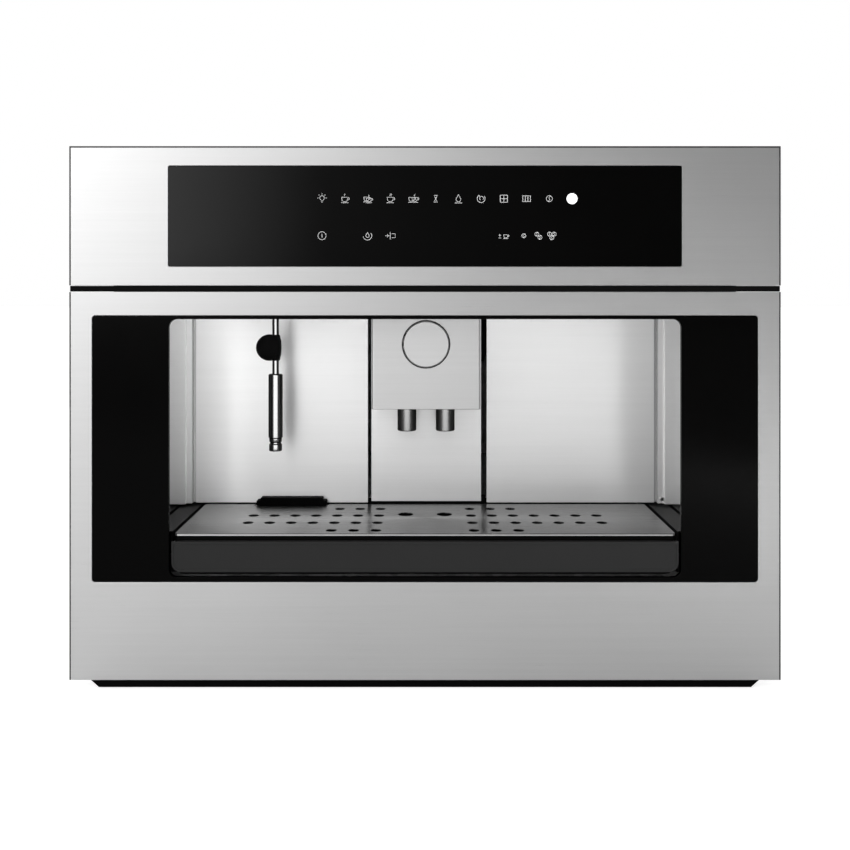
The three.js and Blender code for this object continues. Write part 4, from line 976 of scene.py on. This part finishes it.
# %% Tray front
front_low, front_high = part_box("tray_front")
front_outline = hanging_rectangle(front_low.x, front_high.x, front_low.z, front_high.z, 8 * MM)
front_thickness = (front_high.y - front_low.y) / MM
tray_front = stand_up(plate([front_outline], front_thickness - 0.4, 0.8, 3), front_high.y)
settle(tray_front, "tray_front_plate", GREY_PLASTIC, "tray_front")
BORDER = 2.0 * MM
BORDER_DEPTH = 1.2
border_inner = hanging_rectangle(
    front_low.x + BORDER, front_high.x - BORDER, front_low.z + BORDER, front_high.z - BORDER, 6 * MM
)
tray_border = plate([front_outline, border_inner], BORDER_DEPTH, 0.3)
tray_border = stand_up(tray_border, front_low.y + BORDER_DEPTH * MM)
settle(tray_border, "tray_front_border", GREY_PLASTIC, "tray_front", stands_for=False)
print("tray front:", round(front_thickness, 1), "mm thick")

# %% [markdown]
# ## Everything else keeps its solid
#
# The other solids already have their real shape, so they only need their finish. A carried-over solid
# is never moved or edited: its material slots are set, and its flat facets are left as they are.

# %% Finishes for the carried-over solids
FINISHES = {
    ZINC: [
        "base_plate", "runner_outer_left", "runner_outer_right", "runner_middle_left",
        "runner_middle_right", "runner_inner_left", "runner_inner_right", "chassis_pan",
        "mezzanine_plate", "side_cover_left", "side_cover_right", "rear_cover", "top_cover", "front_frame",
    ],
    DECK_PAINT: ["tray_deck"],
    BOARD: ["touch_board", "power_board"],
    DEEP_BLACK: ["service_frame"],
    BLACK_PLASTIC: ["grinder_housing", "ground_chute", "water_pump", "wand_collar"],
    CHROME: ["wand_socket"],
    CLEAR_PLASTIC: ["bean_hopper", "water_tank"],
    CAST_ALUMINIUM: ["grinder_burr", "steam_boiler"],
    BRASS: ["brew_piston"],
    GREY_PLASTIC: ["tank_cradle"],
    SILICONE: ["suction_hose", "steam_pipe"],
    DIFFUSER: ["niche_lamp"],
}
for finish, names in FINISHES.items():
    for name in names:
        solids[name].data.materials.clear()
        solids[name].data.materials.append(finish)
print("carried-over solids:", sum(len(names) for names in FINISHES.values()))

# %% [markdown]
# ## Screws
#
# Covers are held by pan-head screws with a six-lobed recess. The head is a disc raised in three steps,
# and the recess starts as the inset top face, whose ring of points is pushed in and out six times round
# before it is sunk.

# %% One screw
HEAD_STEPS = ((1.0, 0.9), (0.86, 0.7), (0.62, 0.25))
LOBES = 6
LOBE_SHARE = 0.42
LOBE_SWING = 0.08
RECESS_DEPTH = 1.1


def extruded(work, face):
    grown = bmesh.ops.extrude_face_region(work, geom=[face])["geom"]
    return next(item for item in grown if isinstance(item, bmesh.types.BMFace))


def screw(centre, direction, radius_mm):
    work = bmesh.new()
    bmesh.ops.create_circle(work, cap_ends=True, segments=24, radius=radius_mm * MM)
    work.faces.ensure_lookup_table()
    face = work.faces[0]
    for share, lift in HEAD_STEPS:
        face = extruded(work, face)
        corners = list(face.verts)
        bmesh.ops.translate(work, vec=(0, 0, lift * MM), verts=corners)
        reach = max(Vector((v.co.x, v.co.y)).length for v in corners)
        narrowing = share * radius_mm * MM / reach
        bmesh.ops.scale(work, vec=(narrowing, narrowing, 1), verts=corners)
    face = extruded(work, face)
    for point in face.verts:
        turn = math.atan2(point.co.y, point.co.x)
        reach = radius_mm * MM * (LOBE_SHARE + LOBE_SWING * math.cos(LOBES * turn))
        point.co.x = reach * math.cos(turn)
        point.co.y = reach * math.sin(turn)
    face = extruded(work, face)
    bmesh.ops.translate(work, vec=(0, 0, -RECESS_DEPTH * MM), verts=list(face.verts))
    bmesh.ops.recalc_face_normals(work, faces=work.faces)
    facing = Vector((0, 0, 1)).rotation_difference(Vector(direction)).to_matrix().to_4x4()
    bmesh.ops.transform(work, matrix=Matrix.Translation(centre) @ facing, verts=work.verts)
    return work


def screws(name, solid, places, direction, radius_mm=3.6):
    whole = bmesh.new()
    for place in places:
        one = screw(Vector(place), direction, radius_mm)
        scrap = bpy.data.meshes.new("screw")
        one.to_mesh(scrap)
        one.free()
        whole.from_mesh(scrap)
        bpy.data.meshes.remove(scrap)
    settle(whole, name, SCREW_STEEL, solid, stands_for=False)


# %% Screws in the covers
EDGE_GAP = 8 * MM
LEDGE_X = (225.5 * MM, 230 * MM)

rear_low, rear_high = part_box("rear_cover")
rear_places = [
    (x, rear_high.y - 2.0 * MM, z)
    for x in (rear_low.x + EDGE_GAP, 0, rear_high.x - EDGE_GAP)
    for z in (rear_low.z + EDGE_GAP, rear_high.z - EDGE_GAP)
]
screws("rear_screws", "rear_cover", rear_places, (0, 1, 0))
for hand, side in (("left", -1), ("right", 1)):
    cover_low, cover_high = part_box("side_cover_" + hand)
    outer_x = (cover_low.x if side < 0 else cover_high.x) - side * 1.0 * MM
    places = [
        (outer_x, y, z)
        for y in (cover_low.y + EDGE_GAP, cover_high.y - EDGE_GAP)
        for z in (cover_low.z + 2 * EDGE_GAP, cover_high.z - EDGE_GAP)
    ]
    screws("side_screws_" + hand, "side_cover_" + hand, places, (side, 0, 0), 3.0)
ledge_y = min(
    face.center.y for face in solids["niche_liner"].data.polygons
    if face.normal.y < -0.9 and LEDGE_X[0] < face.center.x < LEDGE_X[1]
)
screws("niche_screw", "niche_liner", [(228 * MM, ledge_y + 0.1 * MM, 134 * MM)], (0, -1, 0), 2.0)
print("niche screw at y:", round(ledge_y / MM, 2), "mm")

# %% [markdown]
# ## Studio
#
# A large soft lamp stands in front, up and to the left, and a smaller one fills from the right. The
# steel doesn't mirror either of them: its run from bright on the left to grey on the right comes from
# the room. One from above draws the top edges, and one lights the back, wide enough to be no brighter
# than the room where the top cover mirrors it. A short strip under the niche's ceiling is the machine's
# own light, helped by a narrow one for each of the niche's rear corners.

# %% Lamps
def lamp(name, place, aim, size, power, mirrored=True):
    """A rectangular lamp. Sizes are in metres and power in watts."""
    data = bpy.data.lights.new(name, "AREA")
    data.shape = "RECTANGLE"
    data.size, data.size_y = size
    data.energy = power
    light = bpy.data.objects.new(name, data)
    light.location = place
    light.rotation_euler = (Vector(aim) - Vector(place)).to_track_quat("-Z", "Y").to_euler()
    light.visible_camera = False
    light.visible_glossy = mirrored
    bpy.context.scene.collection.objects.link(light)
    return light


MACHINE_MIDDLE = (0, 0, 0.22)
CORNER_SPREAD = math.radians(80)
key = lamp("key", (-1.2, -1.6, 0.95), MACHINE_MIDDLE, (0.7, 0.8), 6, mirrored=False)
lamp("top", (0, 0.1, 1.7), MACHINE_MIDDLE, (1.4, 1.0), 5)
lamp("rear", (-0.6, 1.7, 0.9), MACHINE_MIDDLE, (1.7, 1.7), 8)
fill = lamp("fill", (0.7, -1.2, 0.22), (-0.15, -0.1, 0.22), (0.6, 0.3), 8, mirrored=False)
lamp("niche", (-0.02, -0.15, 0.342), (-0.02, -0.09, 0.13), (0.44, 0.02), 0.12, mirrored=False)
for name, x, power in (("niche_left", -0.2, 0.034), ("niche_right", 0.2, 0.008)):
    place, aim = (x, -0.15, 0.24), (x * 1.05, -0.08, 0.24)
    lamp(name, place, aim, (0.02, 0.24), power, mirrored=False).data.spread = CORNER_SPREAD
print("lamps:", len(bpy.data.lights))

# %% [markdown]
# Glass, chrome and the niche are drawn by what they mirror. A photographer sets strips or a card of light
# for them alone and shades everything else from it. Light linking does the same: two strips and a card
# reach only the pieces in their lists. The card also passes the front and the dispenser, which would
# shade the niche's walls, and the key and fill lamps leave the niche out. The glass strip and the card
# fade from left to right.

# %% Strips for the glass and the bright metal
def link_light(light, names, role="receiver", state="INCLUDE"):
    listed = bpy.data.collections.new(light.name + "_" + role)
    for name in names:
        listed.objects.link(bpy.data.objects[name])
    for member in listed.collection_objects:
        member.light_linking.link_state = state
    setattr(light.light_linking, role + "_collection", listed)


BRIGHT_SOLIDS = ["wand_tube", "wand_sleeve", "wand_nozzle", "spout_left", "spout_right"]
chrome_strip = lamp("chrome_strip", (0.03, -1.0, 0.26), (0.03, -0.13, 0.26), (1.1, 0.5), 26)
link_light(chrome_strip, [solid + "_turned" for solid in BRIGHT_SOLIDS])
glass_strip = lamp("glass_strip", (-0.8, -1.7, 0.66), (-0.15, -0.2, 0.4), (1.1, 0.6), 19)
link_light(glass_strip, ["control_glass_ground"])


def fade_across(light, start, end_share):
    """Lets a lamp fade from full at start, a share of its width, to end_share at its right edge."""
    light.data.use_nodes = True
    shades = Graph(light.data.node_tree)
    shades.tree.nodes.clear()
    spot = shades.node("NewGeometry", output="Parametric")
    across = shades.node("SeparateXYZ", sockets={"Vector": spot})
    ends = {"Value": across, "From Min": start, "To Min": 1.0, "To Max": end_share}
    fade = shades.node("MapRange", sockets=ends)
    shades.node("OutputLight", sockets={"Surface": shades.node("Emission", sockets={"Strength": fade})})


fade_across(glass_strip, 0.5, 0.0)
print("strips: 2")

# %% A card of light before the niche
NICHE_PIECES = [
    "niche_liner_rounded", "service_door_rounded", "dispenser_body_rounded", "disc_turned", "niche_screw",
]
PASSED = [
    "lower_panel_rounded", "window_glass_ground", "front_frame", "panel_seal_rounded",
    "dispenser_body_rounded",
]
card = lamp("niche_card", (0, -0.45, 0.3), (0, -0.1, 0.3), (1.3, 0.32), 1.09)
link_light(card, NICHE_PIECES)
link_light(card, PASSED, "blocker", "EXCLUDE")
for soft_lamp in (key, fill):
    link_light(soft_lamp, NICHE_PIECES, "receiver", "EXCLUDE")
fade_across(card, 0.0, 0.42)
print("card:", card.data.size, "m wide")

# %% [markdown]
# The room itself is a white sweep. The camera sees it as plain white, while what falls on the steel and
# is mirrored by it runs from bright on the left to a dim grey on the right, as beside a studio window.
# Far to the left, past the window, and behind the machine the walls are plain.

# %% Background and floor
BRIGHT_SIDE = 2.2
DIM_SIDE = 0.2
PLAIN_SIDE = 0.85
SIDE_REACH = 0.42
WINDOW_END, PLAIN_START = -0.5, -0.9
BEHIND_REACH = 0.4
FALL_OFF = 1.8
FLOOR_GREY = (0.52, 0.52, 0.52, 1)
FLOOR_GLOW = (0.74, 0.74, 0.74, 1)
FLOOR_DROP = 0.5 * MM

world = bpy.data.worlds.new("studio")
bpy.context.scene.world = world
world.use_nodes = True
room = Graph(world.node_tree)
room.tree.nodes.clear()
towards = room.node("TexCoord", output="Generated")
sideways = room.node("SeparateXYZ", sockets={"Vector": towards})
depthwise = room.node("SeparateXYZ", sockets={"Vector": towards}, output="Y")


def between(value, start, end):
    """How far the value is on its way from start to end, from 0 to 1."""
    return room.node("MapRange", sockets={"Value": value, "From Min": start, "From Max": end})


level = DIM_SIDE + (BRIGHT_SIDE - DIM_SIDE) * between(sideways, SIDE_REACH, -SIDE_REACH) ** FALL_OFF
lit = level + between(sideways, WINDOW_END, PLAIN_START) * (PLAIN_SIDE - BRIGHT_SIDE)
lit = lit + between(depthwise, 0.0, BEHIND_REACH) * (PLAIN_SIDE - lit)
is_camera = room.node("LightPath", output="Is Camera Ray")
seen = room.mix(is_camera, lit, (1, 1, 1, 1))
backdrop = room.node("Background", sockets={"Color": seen, "Strength": 1.0})
room.node("OutputWorld", sockets={"Surface": backdrop})

floor_work = bmesh.new()
bmesh.ops.create_grid(floor_work, x_segments=1, y_segments=1, size=30)
floor_mesh = bpy.data.meshes.new("floor")
floor_work.to_mesh(floor_mesh)
floor_work.free()
floor = bpy.data.objects.new("floor", floor_mesh)
floor.location.z = -FLOOR_DROP
bpy.context.scene.collection.objects.link(floor)
paper = Finish("floor_paper", Roughness=0.9, Base_Color=FLOOR_GREY, Specular_IOR_Level=0.1)
glow_share = paper.node("LightPath", output="Is Camera Ray")
paper.varies(Emission_Color=paper.mix(glow_share, (0, 0, 0, 1), FLOOR_GLOW), Emission_Strength=1.0)
floor_mesh.materials.append(paper.material)
bpy.context.scene.view_settings.view_transform = "Standard"
print("studio ready")
